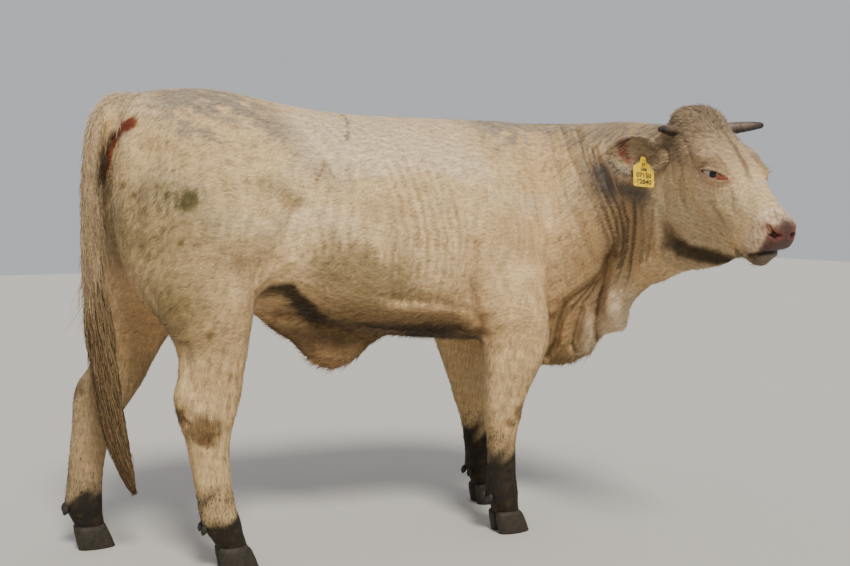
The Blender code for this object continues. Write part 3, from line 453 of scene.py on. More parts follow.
def add_node(tree: bpy.types.NodeTree, kind: str, settings: dict | None = None,
             links: dict | None = None) -> bpy.types.Node:
    """Add a node with its settings and links.

    Args:
        tree: Node tree to add to.
        kind: Type of the node without ShaderNode before it.
        settings: Values by the name of a property or of an input.
        links: Outputs to link from, by the name or number of the input.

    Returns:
        The new node.
    """
    made = tree.nodes.new("ShaderNode" + kind)
    for name, value in (settings or {}).items():
        if isinstance(name, str) and hasattr(made, name):
            setattr(made, name, value)
        else:
            made.inputs[name].default_value = value
    for name, output in (links or {}).items():
        tree.links.new(output, made.inputs[name])
    return made


def object_places(tree: bpy.types.NodeTree) -> bpy.types.NodeSocket:
    """Return the places on the object, in metres, for patterns in space."""
    return add_node(tree, "TexCoord").outputs["Object"]


def shade_paint(tree: bpy.types.NodeTree, shader: bpy.types.Node, shade: bpy.types.NodeSocket) -> None:
    """Give a shader the painted colour times a shade.

    Args:
        tree: Node tree of the material.
        shader: Its shader.
        shade: Output with the factor.
    """
    colour = add_node(tree, "Attribute", {"attribute_name": "Col"})
    painted = add_node(tree, "VectorMath", {"operation": "SCALE"},
                       {0: colour.outputs["Color"], "Scale": shade})
    tree.links.new(painted.outputs["Vector"], shader.inputs["Base Color"])


def blank_material(name: str) -> tuple[bpy.types.Material, bpy.types.NodeTree, bpy.types.Node]:
    """Make a material that holds only its shader and its output.

    Args:
        name: Name of the material.

    Returns:
        The material, its node tree and its shader.
    """
    made = bpy.data.materials.new(name)
    made.use_nodes = True
    tree = made.node_tree
    return made, tree, tree.nodes["Principled BSDF"]


@dataclass(frozen=True)
class HideFinish:
    """Hide of a cow under a short, dry coat: matt, finely streaked along the lie of the hair."""

    streak_mm: float = 2.2
    roughness: float = 0.82
    bump_mm: float = 1.1

    def make(self) -> bpy.types.Material:
        """Return the material; the streaks and the fine bump read as short lying hair.

        Returns:
            The material.
        """
        made, tree, shader = blank_material("short_haired_hide")
        bare = add_node(tree, "Attribute", {"attribute_name": "bare"})
        lie = add_node(tree, "Attribute", {"attribute_name": "lie"})
        streak = add_node(tree, "TexNoise", {"Scale": 1.0 / (self.streak_mm * MM), "Detail": 3.0},
                          {"Vector": lie.outputs["Vector"]})
        pores = add_node(tree, "TexVoronoi", {"Scale": 420.0},
                         {"Vector": object_places(tree)})
        shade = add_node(tree, "MapRange", {"From Min": 0.3, "From Max": 0.7, "To Min": 0.74, "To Max": 1.2},
                         {"Value": streak.outputs["Fac"]})
        calm = add_node(tree, "Mix", {"data_type": "FLOAT", 3: 1.0},
                        {0: bare.outputs["Fac"], 2: shade.outputs["Result"]})
        shade_paint(tree, shader, calm.outputs[0])
        relief = add_node(tree, "Mix", {"data_type": "FLOAT"},
                          {0: bare.outputs["Fac"], 2: streak.outputs["Fac"], 3: pores.outputs["Distance"]})
        bump = add_node(tree, "Bump", {"Strength": 0.7, "Distance": self.bump_mm * MM},
                        {"Height": relief.outputs[0]})
        gloss = add_node(tree, "MapRange", {"To Min": self.roughness, "To Max": 0.42},
                         {"Value": bare.outputs["Fac"]})
        tree.links.new(gloss.outputs["Result"], shader.inputs["Roughness"])
        tree.links.new(bump.outputs["Normal"], shader.inputs["Normal"])
        shader.inputs["Specular IOR Level"].default_value = 0.3
        return made


@dataclass(frozen=True)
class HairFinish:
    """Cattle hair: keratin fibres, matt in the mass with a faint sheen at a low angle."""

    name: str
    roughness: float = 0.66
    sheen: float = 0.12
    spread: float = 0.22

    def make(self) -> bpy.types.Material:
        """Return the material; the noise keeps neighbouring tufts from matching.

        Returns:
            The material.
        """
        made, tree, shader = blank_material(self.name)
        noise = add_node(tree, "TexNoise", {"Scale": 160.0, "Detail": 2.0},
                         {"Vector": object_places(tree)})
        shade = add_node(tree, "MapRange",
                         {"From Min": 0.3, "From Max": 0.7, "To Min": 1 - self.spread,
                          "To Max": 1 + self.spread},
                         {"Value": noise.outputs["Fac"]})
        shade_paint(tree, shader, shade.outputs["Result"])
        shader.inputs["Roughness"].default_value = self.roughness
        shader.inputs["Specular IOR Level"].default_value = 0.25
        shader.inputs["Sheen Weight"].default_value = self.sheen
        return made


@dataclass(frozen=True)
class HornFinish:
    """Keratin of horns and claws: dull, ringed by growth and mottled by flaking."""

    name: str
    ring_mm: float = 4.0
    roughness: float = 0.55
    bump_mm: float = 0.6

    def make(self) -> bpy.types.Material:
        """Return the material; rings and flaking give the eye the layers of growth.

        Returns:
            The material.
        """
        made, tree, shader = blank_material(self.name)
        along = add_node(tree, "Attribute", {"attribute_name": "growth"})
        rings = add_node(tree, "TexNoise",
                         {"noise_dimensions": "1D", "Scale": 1.0 / (self.ring_mm * MM), "Detail": 2.0},
                         {"W": along.outputs["Fac"]})
        flake = add_node(tree, "TexNoise", {"Scale": 220.0, "Detail": 4.0},
                         {"Vector": object_places(tree)})
        both = add_node(tree, "Math", {"operation": "MULTIPLY"},
                        {0: rings.outputs["Fac"], 1: flake.outputs["Fac"]})
        shade = add_node(tree, "MapRange", {"From Min": 0.15, "From Max": 0.38, "To Min": 0.65,
                                            "To Max": 1.25},
                         {"Value": both.outputs["Value"]})
        shade_paint(tree, shader, shade.outputs["Result"])
        bump = add_node(tree, "Bump", {"Strength": 0.8, "Distance": self.bump_mm * MM},
                        {"Height": both.outputs["Value"]})
        tree.links.new(bump.outputs["Normal"], shader.inputs["Normal"])
        shader.inputs["Roughness"].default_value = self.roughness
        return made


@dataclass(frozen=True)
class WetFinish:
    """Wet tissue: eyeballs and the rims of the lids under a clear film of tears."""

    name: str
    roughness: float = 0.16
    coat: float = 0.35

    def make(self) -> bpy.types.Material:
        """Return the material; the clear layer gives the eye its bright spot.

        Returns:
            The material.
        """
        made, tree, shader = blank_material(self.name)
        colour = add_node(tree, "Attribute", {"attribute_name": "Col"})
        tree.links.new(colour.outputs["Color"], shader.inputs["Base Color"])
        shader.inputs["Roughness"].default_value = self.roughness
        shader.inputs["Coat Weight"].default_value = self.coat
        shader.inputs["Coat Roughness"].default_value = 0.04
        shader.inputs["Specular IOR Level"].default_value = 0.35
        return made


@dataclass(frozen=True)
class TagFinish:
    """Moulded polyurethane of an ear tag: satin, a little scuffed and dusty."""

    colour: str = "#F2C90E"
    dust: str = "#CC9F1C"
    grain_mm: float = 1.5

    def make(self) -> bpy.types.Material:
        """Return the material; the scuffs break its highlight.

        Returns:
            The material.
        """
        made, tree, shader = blank_material("moulded_polyurethane_tag")
        noise = add_node(tree, "TexNoise", {"Scale": 90.0, "Detail": 5.0},
                         {"Vector": object_places(tree)})
        grime = add_node(tree, "MapRange", {"From Min": 0.48, "From Max": 0.72},
                         {"Value": noise.outputs["Fac"]})
        mixed = add_node(tree, "Mix",
                         {"data_type": "RGBA", 6: (*linear(self.colour), 1), 7: (*linear(self.dust), 1)},
                         {0: grime.outputs["Result"]})
        fine = add_node(tree, "TexNoise", {"Scale": 1.0 / (self.grain_mm * MM)},
                        {"Vector": object_places(tree)})
        bump = add_node(tree, "Bump", {"Strength": 0.25, "Distance": 0.0004},
                        {"Height": fine.outputs["Fac"]})
        tree.links.new(mixed.outputs[2], shader.inputs["Base Color"])
        tree.links.new(bump.outputs["Normal"], shader.inputs["Normal"])
        shader.inputs["Roughness"].default_value = 0.48
        return made


@dataclass(frozen=True)
class PlainFinish:
    """A matt, lightly mottled surface of one colour, such as ink or a painted floor."""

    name: str
    colour: str
    roughness: float = 0.7
    mottle: float = 0.04
    scale: float = 6.0

    def make(self) -> bpy.types.Material:
        """Return the material; the faint mottle keeps it from looking like plain plastic.

        Returns:
            The material.
        """
        made, tree, shader = blank_material(self.name)
        noise = add_node(tree, "TexNoise", {"Scale": self.scale, "Detail": 3.0},
                         {"Vector": object_places(tree)})
        base = np.array(linear(self.colour))
        mixed = add_node(tree, "Mix", {"data_type": "RGBA", 6: (*(base * (1 - self.mottle)), 1),
                                                 7: (*np.clip(base * (1 + self.mottle), 0, 1), 1)},
                         {0: noise.outputs["Fac"]})
        tree.links.new(mixed.outputs[2], shader.inputs["Base Color"])
        shader.inputs["Roughness"].default_value = self.roughness
        return made


# Markings of the coat


@dataclass(frozen=True)
class Stroke:
    """A crease, ridge or stain along a bent line of places in the design.

    Height is in metres, below the skin where it is negative, and reach is how far it fades out.
    """

    reach: float
    height: float
    path: Path

    def share(self, measured: Array, spread: float = 1.0) -> Array:
        """Say how strongly the stroke acts at each place."""
        return np.exp(-(path_distance(measured, self.path) / (self.reach * spread)) ** 2)


FOLD_TURN = math.radians(24)
FOLD_HEADING = np.array((math.sin(FOLD_TURN), math.cos(FOLD_TURN), 0))


def fold_plane(points: Array) -> Array:
    """Give design places on the upright plane square to which the folds of neck and brisket run."""
    return np.stack([points[:, 0] * math.cos(FOLD_TURN) + np.abs(points[:, 1]) * math.sin(FOLD_TURN),
                     points[:, 2]], 1)


def rib_strokes() -> tuple[Stroke, ...]:
    """Return the shallow gaps between the ribs, closer and finer than the big arches beneath.

    Returns:
        The strokes.
    """
    fine = tuple(Stroke(0.0075 + 0.0015 * (n % 2), -0.0026 - 0.0014 * (n % 3), (
        (x - 0.050, 1.060), (x - 0.022, 0.970), (x, 0.864), (x + 0.001, 0.755), (x - 0.006, 0.680)))
        for n, x in enumerate((0.080, 0.106, 0.137, 0.162, 0.190, 0.214, 0.243, 0.266)))
    broad = tuple(Stroke(0.024, -0.0035, ((x + 0.030, 1.10), (x - 0.010, 0.90), (x + 0.020, 0.70)))
                  for x in (0.02, 0.09, 0.16, 0.23))
    return fine + broad


@dataclass(frozen=True)
class Anatomy:
    """Muscles, bones and folds beneath the hide.

    The strokes of the sides are given by length and height, the others on the plane of the folds.
    """

    sides: tuple[Stroke, ...] = rib_strokes() + (
        Stroke(0.011, -0.0085, ((0.289, 0.840), (0.291, 0.738), (0.312, 0.640), (0.345, 0.570))),
        Stroke(0.030, -0.0080, ((0.290, 1.030), (0.283, 0.876), (0.291, 0.738), (0.320, 0.620))),
        Stroke(0.070, 0.0080, ((0.390, 0.880), (0.420, 0.740))),
        Stroke(0.024, 0.0050, ((0.455, 1.150), (0.500, 1.000), (0.545, 0.860))),
        Stroke(0.030, -0.0040, ((0.405, 1.140), (0.440, 1.020), (0.465, 0.930))),
        Stroke(0.045, 0.0080, ((0.560, 0.840), (0.575, 0.780))),
        Stroke(0.024, -0.0060, ((0.480, 0.700), (0.510, 0.620), (0.505, 0.540))),
        Stroke(0.045, 0.0100, ((-0.210, 1.110), (-0.165, 1.070))),
        Stroke(0.022, -0.0080, ((-0.165, 1.150), (-0.118, 1.080), (-0.085, 0.990))),
        Stroke(0.034, -0.0090, ((-0.160, 0.990), (-0.200, 0.880), (-0.250, 0.790))),
        Stroke(0.060, 0.0060, ((-0.300, 0.980), (-0.330, 0.850))),
        Stroke(0.012, 0.0060, ((-0.225, 0.800), (-0.265, 0.765), (-0.305, 0.735))),
        Stroke(0.018, -0.0050, ((-0.400, 1.130), (-0.330, 1.100), (-0.250, 1.150))),
        Stroke(0.016, -0.0050, ((-0.590, 1.080), (-0.608, 0.950), (-0.600, 0.820), (-0.570, 0.700))),
        Stroke(0.030, -0.0040, ((-0.520, 1.050), (-0.480, 0.900), (-0.500, 0.760))),
        Stroke(0.040, 0.0060, ((-0.340, 0.770), (-0.350, 0.700))),
        Stroke(0.014, -0.0050, ((0.060, 0.690), (0.180, 0.672), (0.270, 0.660))),
        Stroke(0.020, 0.0040, ((-0.100, 0.705), (0.050, 0.662), (0.200, 0.640))),
        Stroke(0.0120, -0.0060, ((-0.496, 0.590), (-0.492, 0.530), (-0.480, 0.480))),
        Stroke(0.0160, 0.0050, ((-0.455, 0.430), (-0.430, 0.390))),
        Stroke(0.0090, -0.0040, ((-0.440, 0.350), (-0.450, 0.260), (-0.440, 0.200))),
        Stroke(0.0200, 0.0040, ((0.450, 0.370), (0.450, 0.340))),
        Stroke(0.0080, -0.0040, ((0.425, 0.310), (0.425, 0.240), (0.425, 0.180))),
    )
    folds: tuple[Stroke, ...] = (
        Stroke(0.0110, -0.0020, ((0.596, 1.150), (0.608, 1.061), (0.641, 0.959), (0.684, 0.859),
                                 (0.718, 0.782))),
        Stroke(0.0090, -0.0045, ((0.632, 1.172), (0.648, 1.089), (0.681, 1.002), (0.717, 0.925),
                                 (0.745, 0.851), (0.756, 0.795))),
        Stroke(0.0060, -0.0025, ((0.655, 1.168), (0.668, 1.080), (0.698, 0.990), (0.730, 0.905),
                                 (0.752, 0.840))),
        Stroke(0.0085, -0.0070, ((0.673, 1.164), (0.687, 1.073), (0.711, 1.001), (0.739, 0.925),
                                 (0.761, 0.852), (0.767, 0.801))),
        Stroke(0.0080, -0.0085, ((0.706, 1.107), (0.718, 1.038), (0.737, 0.973), (0.763, 0.903),
                                 (0.772, 0.847), (0.772, 0.796))),
        Stroke(0.0050, -0.0030, ((0.722, 1.080), (0.731, 1.000), (0.752, 0.950))),
        Stroke(0.0080, -0.0090, ((0.728, 1.057), (0.745, 0.986), (0.767, 0.939), (0.781, 0.881),
                                 (0.785, 0.825), (0.778, 0.767))),
        Stroke(0.0070, -0.0080, ((0.775, 0.953), (0.790, 0.900), (0.793, 0.819), (0.782, 0.756),
                                 (0.770, 0.701))),
        Stroke(0.0080, -0.0080, ((0.800, 0.958), (0.806, 0.889), (0.806, 0.820), (0.803, 0.748),
                                 (0.793, 0.673))),
        Stroke(0.0080, -0.0050, ((0.820, 0.944), (0.826, 0.862), (0.824, 0.788))),
        Stroke(0.0080, -0.0050, ((0.841, 0.944), (0.843, 0.863), (0.838, 0.808))),
    )
    brisket: tuple[Stroke, ...] = (
        Stroke(0.0095, -0.0130, ((0.751, 0.803), (0.735, 0.752), (0.710, 0.716), (0.678, 0.688),
                                 (0.644, 0.658),
                                 (0.629, 0.606), (0.615, 0.525), (0.599, 0.484))),
        Stroke(0.0080, -0.0060, ((0.762, 0.832), (0.753, 0.794), (0.747, 0.745), (0.739, 0.685),
                                 (0.733, 0.624))),
        Stroke(0.0080, -0.0130, ((0.742, 0.700), (0.733, 0.655), (0.734, 0.578), (0.745, 0.545))),
        Stroke(0.0070, -0.0110, ((0.690, 0.640), (0.679, 0.591), (0.671, 0.529), (0.687, 0.490))),
        Stroke(0.0050, -0.0040, ((0.735, 0.735), (0.712, 0.690), (0.690, 0.655))),
        Stroke(0.0050, -0.0040, ((0.725, 0.725), (0.700, 0.695), (0.660, 0.640))),
    )
    lobes: tuple[Stroke, ...] = (
        Stroke(0.0340, 0.0340, ((0.775, 0.650), (0.794, 0.600))),
        Stroke(0.0220, 0.0200, ((0.712, 0.600), (0.708, 0.525))),
        Stroke(0.0200, 0.0080, ((0.648, 0.540), (0.641, 0.505))),
        Stroke(0.0240, 0.0070, ((0.712, 0.765), (0.690, 0.725), (0.650, 0.690), (0.612, 0.640))),
        Stroke(0.0160, 0.0050, ((0.812, 0.740), (0.802, 0.690))),
    )


@dataclass(frozen=True)
class Face:
    """Creases and openings of the face, in the head's frame, on its left side."""

    mouth_line: Path = (
        (0.322, -0.168), (0.345, -0.166), (0.367, -0.163), (0.385, -0.147), (0.400, -0.131), (0.412, -0.119),
        (0.445, -0.108))
    old_nostril: Path = (
        (0.383, 0.050, -0.052), (0.390, 0.052, -0.063), (0.400, 0.047, -0.070), (0.411, 0.036, -0.065))
    nostril_line: Path = (
        (0.393, 0.045, -0.056), (0.403, 0.041, -0.065), (0.414, 0.028, -0.069), (0.418, 0.020, -0.068))
    jaw: Path = (
        (0.086, 0.093, -0.211), (0.109, 0.087, -0.231), (0.148, 0.074, -0.256), (0.212, 0.065, -0.244),
        (0.272, 0.046, -0.221), (0.323, 0.019, -0.200))
    throat: Path = (
        (0.117, 0.093, -0.246), (0.166, 0.088, -0.270), (0.228, 0.077, -0.259), (0.283, 0.053, -0.238),
        (0.318, 0.020, -0.222))
    ear_base: tuple[Path, ...] = (
        ((-0.013, 0.080, -0.063), (0.027, 0.089, -0.074), (0.066, 0.094, -0.095), (0.099, 0.096, -0.126)),
        ((0.016, 0.086, -0.038), (0.061, 0.095, -0.051), (0.095, 0.094, -0.075), (0.135, 0.096, -0.110),
         (0.146, 0.090, -0.151)),
        ((-0.027, 0.088, -0.084), (0.011, 0.093, -0.101), (0.048, 0.094, -0.123)),
        ((0.045, 0.083, -0.016), (0.086, 0.089, -0.025), (0.123, 0.095, -0.040)))
    streak: Path = (
        (0.838, -0.570, 1.189), (0.830, -0.609, 1.144), (0.834, -0.652, 1.098), (0.824, -0.707, 1.044),
        (0.806, -0.754, 0.992), (0.809, -0.788, 0.954))
    creases: tuple[Stroke, ...] = (
        Stroke(0.0045, -0.0030, ((0.170, 0.096, -0.008), (0.192, 0.090, 0.000), (0.215, 0.082, -0.002),
                                 (0.238, 0.070, -0.012))),
        Stroke(0.0060, 0.0030, ((0.172, 0.096, 0.006), (0.195, 0.090, 0.012), (0.222, 0.080, 0.010))),
        Stroke(0.0045, -0.0022, ((0.160, 0.098, -0.072), (0.185, 0.094, -0.070), (0.212, 0.086, -0.062))),
        Stroke(0.0060, 0.0020, ((0.162, 0.098, -0.084), (0.190, 0.093, -0.083), (0.222, 0.082, -0.072))),
        Stroke(0.0050, -0.0022, ((0.150, 0.100, -0.020), (0.140, 0.100, -0.045), (0.142, 0.100, -0.072))),
        Stroke(0.0070, -0.0024, ((0.238, 0.070, -0.030), (0.262, 0.064, -0.050), (0.285, 0.062, -0.082))),
        Stroke(0.0090, -0.0026, ((0.225, 0.078, -0.100), (0.262, 0.066, -0.118), (0.300, 0.058, -0.150))),
        Stroke(0.0120, 0.0036, ((0.180, 0.086, -0.110), (0.222, 0.078, -0.130), (0.270, 0.064, -0.150))),
        Stroke(0.0060, -0.0026, ((0.345, 0.055, -0.140), (0.350, 0.056, -0.110), (0.356, 0.055, -0.080),
                                 (0.366, 0.048, -0.055))),
        Stroke(0.0140, 0.0036, ((0.366, 0.052, -0.125), (0.376, 0.050, -0.100))),
        Stroke(0.0045, -0.0020, ((0.330, 0.054, -0.186), (0.340, 0.052, -0.197), (0.356, 0.046, -0.202))),
        Stroke(0.0220, 0.0045, ((0.090, 0.096, -0.130), (0.115, 0.094, -0.180), (0.160, 0.080, -0.215))),
        Stroke(0.0100, -0.0026, ((0.100, 0.097, -0.080), (0.125, 0.098, -0.130), (0.170, 0.092, -0.160))),
    )


ANATOMY = Anatomy()
FACE = Face()


@dataclass(frozen=True)
class Markings:
    """Colours of the animal from nose to tail, used by skin and coat alike, with painted shade and painted
    light among them.
    """

    cream: str = "#EAC794"
    # A pale tone, also laid as painted light on the back's middle, the rib ripples and the dewlap's lobes.
    light: str = "#F0D8B2"
    # Grey laid on the top of the back as painted shade.
    back: str = "#9B8B78"
    # A tone, also laid as painted shade where the sides turn under.
    tan: str = "#CAA470"
    # A warm tone, also laid as painted shade where belly and neck face down.
    ochre: str = "#8C6D47"
    # Laid as painted shade in the creases of the face and the ear's base, and over the eyes.
    crease: str = "#54391F"
    poll: str = "#957E62"
    forehead: str = "#AE9374"
    dark_streak: str = "#6F5B42"
    cheek: str = "#B09B77"
    nose: str = "#CCAC80"
    pad: str = "#623F35"
    muzzle: str = "#E0C6A4"
    freckle: str = "#9C6E42"
    snout: str = "#44302A"
    shadow: str = "#3B2E1A"
    lip: str = "#1D1713"
    nostril: str = "#1C0D09"
    rim: str = "#9A4434"
    peach: str = "#C79C6A"
    pink: str = "#DDB391"
    stain: str = "#7E3317"
    # Soiling on the flank and legs, also laid as painted shade on the haunch's rear and in the rib ripples.
    dirt: str = "#836F45"
    grime: str = "#51462F"
    spot: str = "#5D522F"
    brown: str = "#6A4E2C"
    mud: str = "#12100B"
    tail: str = "#C2A680"
    # The chin's tone, also laid as painted shade on the lower far hind leg.
    chin: str = "#76634B"
    shade: str = "#5E5852"

    def colour(self, points: Array, normals: Array, speckled: bool = False) -> Array:
        """Give the colour of the hide at each place.

        Args:
            points: Places in the frame.
            normals: Outward directions there.
            speckled: Whether the places are hairs, fine enough to carry speckles.

        Returns:
            Linear colours.
        """
        design = to_design(points)
        x, _, z = design.T
        fine = waves(points, 0.05, 5)
        out = np.tile(tint(self.cream), (len(points), 1))

        def lay(hex_colour: str, share: Array) -> None:
            """Lay a colour over what is there.

            Args:
                hex_colour: Colour to lay.
                share: How much of it to lay on each place, from 0 to 1.
            """
            nonlocal out
            share = np.clip(share, 0, 1)[:, None]
            out = out * (1 - share) + tint(hex_colour) * share

        self._trunk(lay, points, normals, fine)
        self._smudges(lay, points, fine)
        self._front(lay, design, normals, fine)
        self._rear(lay, points, fine)
        self._legs(lay, design, fine, speckled)
        self._head(lay, points, normals, fine)
        upright = ramp(x, -0.40, -0.52) + ramp(z, 0.62, 0.55)
        lain = waves(points * (0.40, 1, 1), 0.011, 14, 3) * (1 - np.clip(upright, 0, 1))
        hung = waves(points * (1, 1, 0.40), 0.011, 17, 3) * np.clip(upright, 0, 1)
        return out * (1 + 0.05 * fine + 0.23 * (lain + hung))[:, None]

    def _trunk(self, lay: Lay, points: Array, normals: Array, fine: Array) -> None:
        """Lay the tones of back, side, belly and haunch, with painted shade on the back's top, along the hip,
        on the haunch's rear and where the body turns under, and a painted highlight along the middle of the
        back.

        Args:
            lay: Lays a colour over what is there.
            points: Places to value.
            normals: Outward directions there.
            fine: Small blotches, from about -1 to 1.
        """
        design = to_design(points)
        x, y, z = design.T
        slope = normals[:, 2]
        blotch = waves(points, 0.26, 3)
        lay(self.light, 0.55 * ramp(blotch, -0.2, 0.6) * ramp(z, 0.80, 0.95))
        lay(self.tan, 0.35 * ramp(-blotch, 0.0, 0.8))
        # The upward-facing top of the back goes grey: painted shade, weaker over the middle of the back.
        lay(self.back, 0.90 * ramp(slope, 0.25, 0.60) * ramp(z, 1.02, 1.12) * ramp(blotch + fine, -1.0, 0.3)
            * ramp(x, -0.60, -0.50) * (0.45 + 0.55 * (ramp(x, -0.20, -0.32) + ramp(x, 0.30, 0.42))))
        hip = Stroke(0.030, 0, ((-0.272, 1.165), (-0.245, 1.125), (-0.205, 1.085), (-0.135, 1.040),
                                (-0.085, 0.995)))
        lay(self.shade, 0.34 * hip.share(design[:, [0, 2]]))
        # A painted highlight along the middle of the back's top.
        lay(self.light, 0.50 * ramp(z, 0.98, 1.08) * ramp(x, -0.25, -0.15) * ramp(x, 0.35, 0.25))
        lay(self.forehead, 0.45 * ramp(x, 0.50, 0.60) * ramp(z, 1.08, 1.15))
        # Tan lower down, strongest where the sides turn under, then ochre where they face down: painted
        # shade.
        lay(self.tan, 0.60 * ramp(z, 0.82, 0.62) * ramp(slope, 0.35, -0.4))
        lay(self.ochre, 0.92 * ramp(-slope, 0.10, 0.7) * ramp(z, 0.74, 0.62) * ramp(z, 0.42, 0.50))
        side_places = design[:, [0, 2]]
        belly_line = ((-0.300, 0.675), (-0.275, 0.702), (-0.250, 0.722), (-0.214, 0.722), (-0.162, 0.677),
                      (-0.080, 0.612), (-0.005, 0.590), (0.143, 0.582), (0.255, 0.578), (0.310, 0.572))
        wide = 0.026 + 0.018 * ramp(x, -0.12, 0.04)
        band = (path_distance(side_places, belly_line) + 0.005 * fine) / wide
        lay(self.shadow, 0.97 * ramp(band, 1.05, 0.40) * (np.abs(y) > 0.030))
        lay(self.shadow, 0.80 * ramp(-slope, 0.4, 0.8) * ramp(z, 0.63, 0.59) * ramp(z, 0.50, 0.54)
            * (x > 0.02) * (x < 0.40) * (np.abs(y) < 0.26))
        elbow_line = ((0.287, 0.800), (0.300, 0.690), (0.330, 0.590))
        lay(self.peach, 0.34 * Stroke(0.040, 0, elbow_line).share(side_places))
        lay(self.shadow, 0.50 * Stroke(0.010, 0, ((0.291, 0.738), (0.312, 0.640),
                                                  (0.345, 0.570))).share(side_places)
            * (np.abs(y) > 0.10))
        # The haunch's rear is darkened, with blotches: painted shade.
        haunch = np.exp(-((x + 0.59) / 0.19) ** 2 - ((z - 0.80) / 0.27) ** 2) * (z > 0.5)
        lay(self.dirt, 0.95 * haunch * (0.90 + 0.35 * blotch))
        grey = np.exp(-((x + 0.36) / 0.10) ** 2 - ((z - 0.80) / 0.08) ** 2)
        lay(self.grime, 0.28 * grey * (0.7 + 0.6 * fine))

    def _smudges(self, lay: Lay, points: Array, fine: Array) -> None:
        """Lay the near side's dried dung, specks and scratches.

        Args:
            lay: Lays a colour over what is there.
            points: Places to value.
            fine: Small blotches, from about -1 to 1.
        """
        design = to_design(points)
        x, y, z = design.T
        side_places = design[:, [0, 2]]
        run = waves(points * (1, 1, 0.35), 0.020, 12, 3)
        patch = np.hypot((x + 0.490) / 0.046, (z - 0.955) / 0.034)
        lay(self.spot, 0.95 * ramp(patch + 0.55 * run, 1.20, 0.30) * (y < 0))
        specks = waves(points, 0.028, 11, 2)
        spread = np.exp(-((x + 0.52) / 0.18) ** 2 - ((z - 0.88) / 0.24) ** 2)
        lay(self.brown, 0.35 * ramp(specks, 0.58, 0.80) * spread)
        flat = fold_plane(design)
        for across, height, reach in ((-0.510, 0.991, 0.011), (-0.421, 0.988, 0.008), (-0.486, 0.967, 0.010),
                                      (-0.300, 0.622, 0.012), (-0.412, 0.930, 0.006)):
            near = np.hypot(flat[:, 0] - across, flat[:, 1] - height) / reach
            lay(self.brown, 0.75 * ramp(near + 0.5 * run, 1.2, 0.4) * (y < 0) * (x < 0))
        for hue, strength, width, path in (
                (self.brown, 0.65, 0.006, ((-0.130, 1.054), (-0.142, 1.028), (-0.158, 0.999))),
                (self.brown, 0.55, 0.006, ((-0.122, 1.046), (-0.111, 1.015))),
                (self.rim, 0.60, 0.006, ((-0.068, 0.832), (-0.053, 0.858))),
                (self.brown, 0.45, 0.009, ((-0.030, 0.808), (-0.006, 0.821))),
                (self.brown, 0.45, 0.006, ((0.010, 0.970), (0.010, 0.964))),
                (self.dirt, 0.50, 0.034, ((-0.290, 0.995), (-0.242, 0.978), (-0.206, 0.950))),
                (self.dirt, 0.66, 0.110, ((-0.090, 0.790), (-0.012, 0.740), (0.050, 0.750)))):
            mark = path_distance(side_places, path) + 0.30 * width * run
            lay(hue, strength * ramp(mark, width, width * 0.3) * (y < 0))
        near = np.hypot((x + 0.360) / 0.034, (z - 0.800) / 0.026)
        lay(self.brown, 0.50 * ramp(near + 0.6 * run, 1.3, 0.3) * (y < 0))
        lay(self.shadow, 0.60 * ramp(path_distance(side_places,
                                                   ((-0.030, 1.188), (-0.045, 1.150), (-0.058, 1.114)))
                                     + 0.002 * fine, 0.006, 0.002) * (y < 0))

    def _rear(self, lay: Lay, points: Array, fine: Array) -> None:
        """Lay the colours of sheath, groin, dock and tail head, painted shadow beside the tail, and painted
        shade and light on the ripples between the ribs.

        Args:
            lay: Lays a colour over what is there.
            points: Places to value.
            fine: Small blotches, from about -1 to 1.
        """
        design = to_design(points)
        x, y, z = design.T
        flat = fold_plane(design)
        sheath = ramp(z, 0.64, 0.58) * (np.abs(y) < 0.11) * (x < 0.16) * (x > -0.30)
        lay(self.ochre, 0.90 * sheath)
        lay(self.grime, 0.25 * sheath)
        lay(self.peach, 0.70 * sheath * ramp(z, 0.57, 0.52) * ramp(np.abs(x + 0.035), 0.11, 0.05))
        lay(self.shadow, 0.35 * sheath * ramp(waves(points * (0.4, 1, 1), 0.03, 16, 3), 0.1, 0.8))
        groin = ramp(np.abs(y), 0.17, 0.11) * ramp(z, 0.82, 0.74) * (x < -0.22) * ramp(z, 0.48, 0.58)
        lay(self.peach, 0.85 * groin)
        lay(self.cream, 0.35 * groin)
        rear = ramp(x, -0.560, -0.590)
        dock = ramp(x, -0.645, -0.668) * ramp(np.abs(y), 0.050, 0.040) * ramp(z, 1.20, 1.12)
        lay(self.tail, 0.85 * dock)
        for width, share, path in ((0.021, 0.97, ((-0.500, 1.148), (-0.530, 1.138))),
                                   (0.015, 0.97, ((-0.530, 1.138), (-0.560, 1.112))),
                                   (0.011, 0.95, ((-0.560, 1.112), (-0.576, 1.080), (-0.590, 1.040)))):
            lay(self.stain, share * ramp(path_distance(flat, path) + 0.003 * fine, width, width * 0.6) * rear)
        edge = ((-0.560, 1.128), (-0.583, 1.090), (-0.596, 1.050), (-0.602, 1.000), (-0.607, 0.940))
        lay(self.shadow, 0.85 * ramp(path_distance(flat, edge) + 0.005 * fine, 0.012, 0.004) * rear
            * ramp(z, 0.94, 1.02))
        # Ripples over the ribs: painted shade in the troughs and painted light on the crests.
        ripple = np.sin((x + 1.5 * (z - 0.82) ** 2 + 0.010 * fine) * 2 * math.pi / 0.0240)
        ribs = np.exp(-((x - 0.15) / 0.11) ** 2 - ((z - 0.85) / 0.16) ** 2) * (np.abs(y) > 0.1)
        lay(self.dirt, 0.34 * ribs * ramp(ripple, 0.1, 0.9))
        lay(self.light, 0.30 * ribs * ramp(-ripple, 0.1, 0.9))

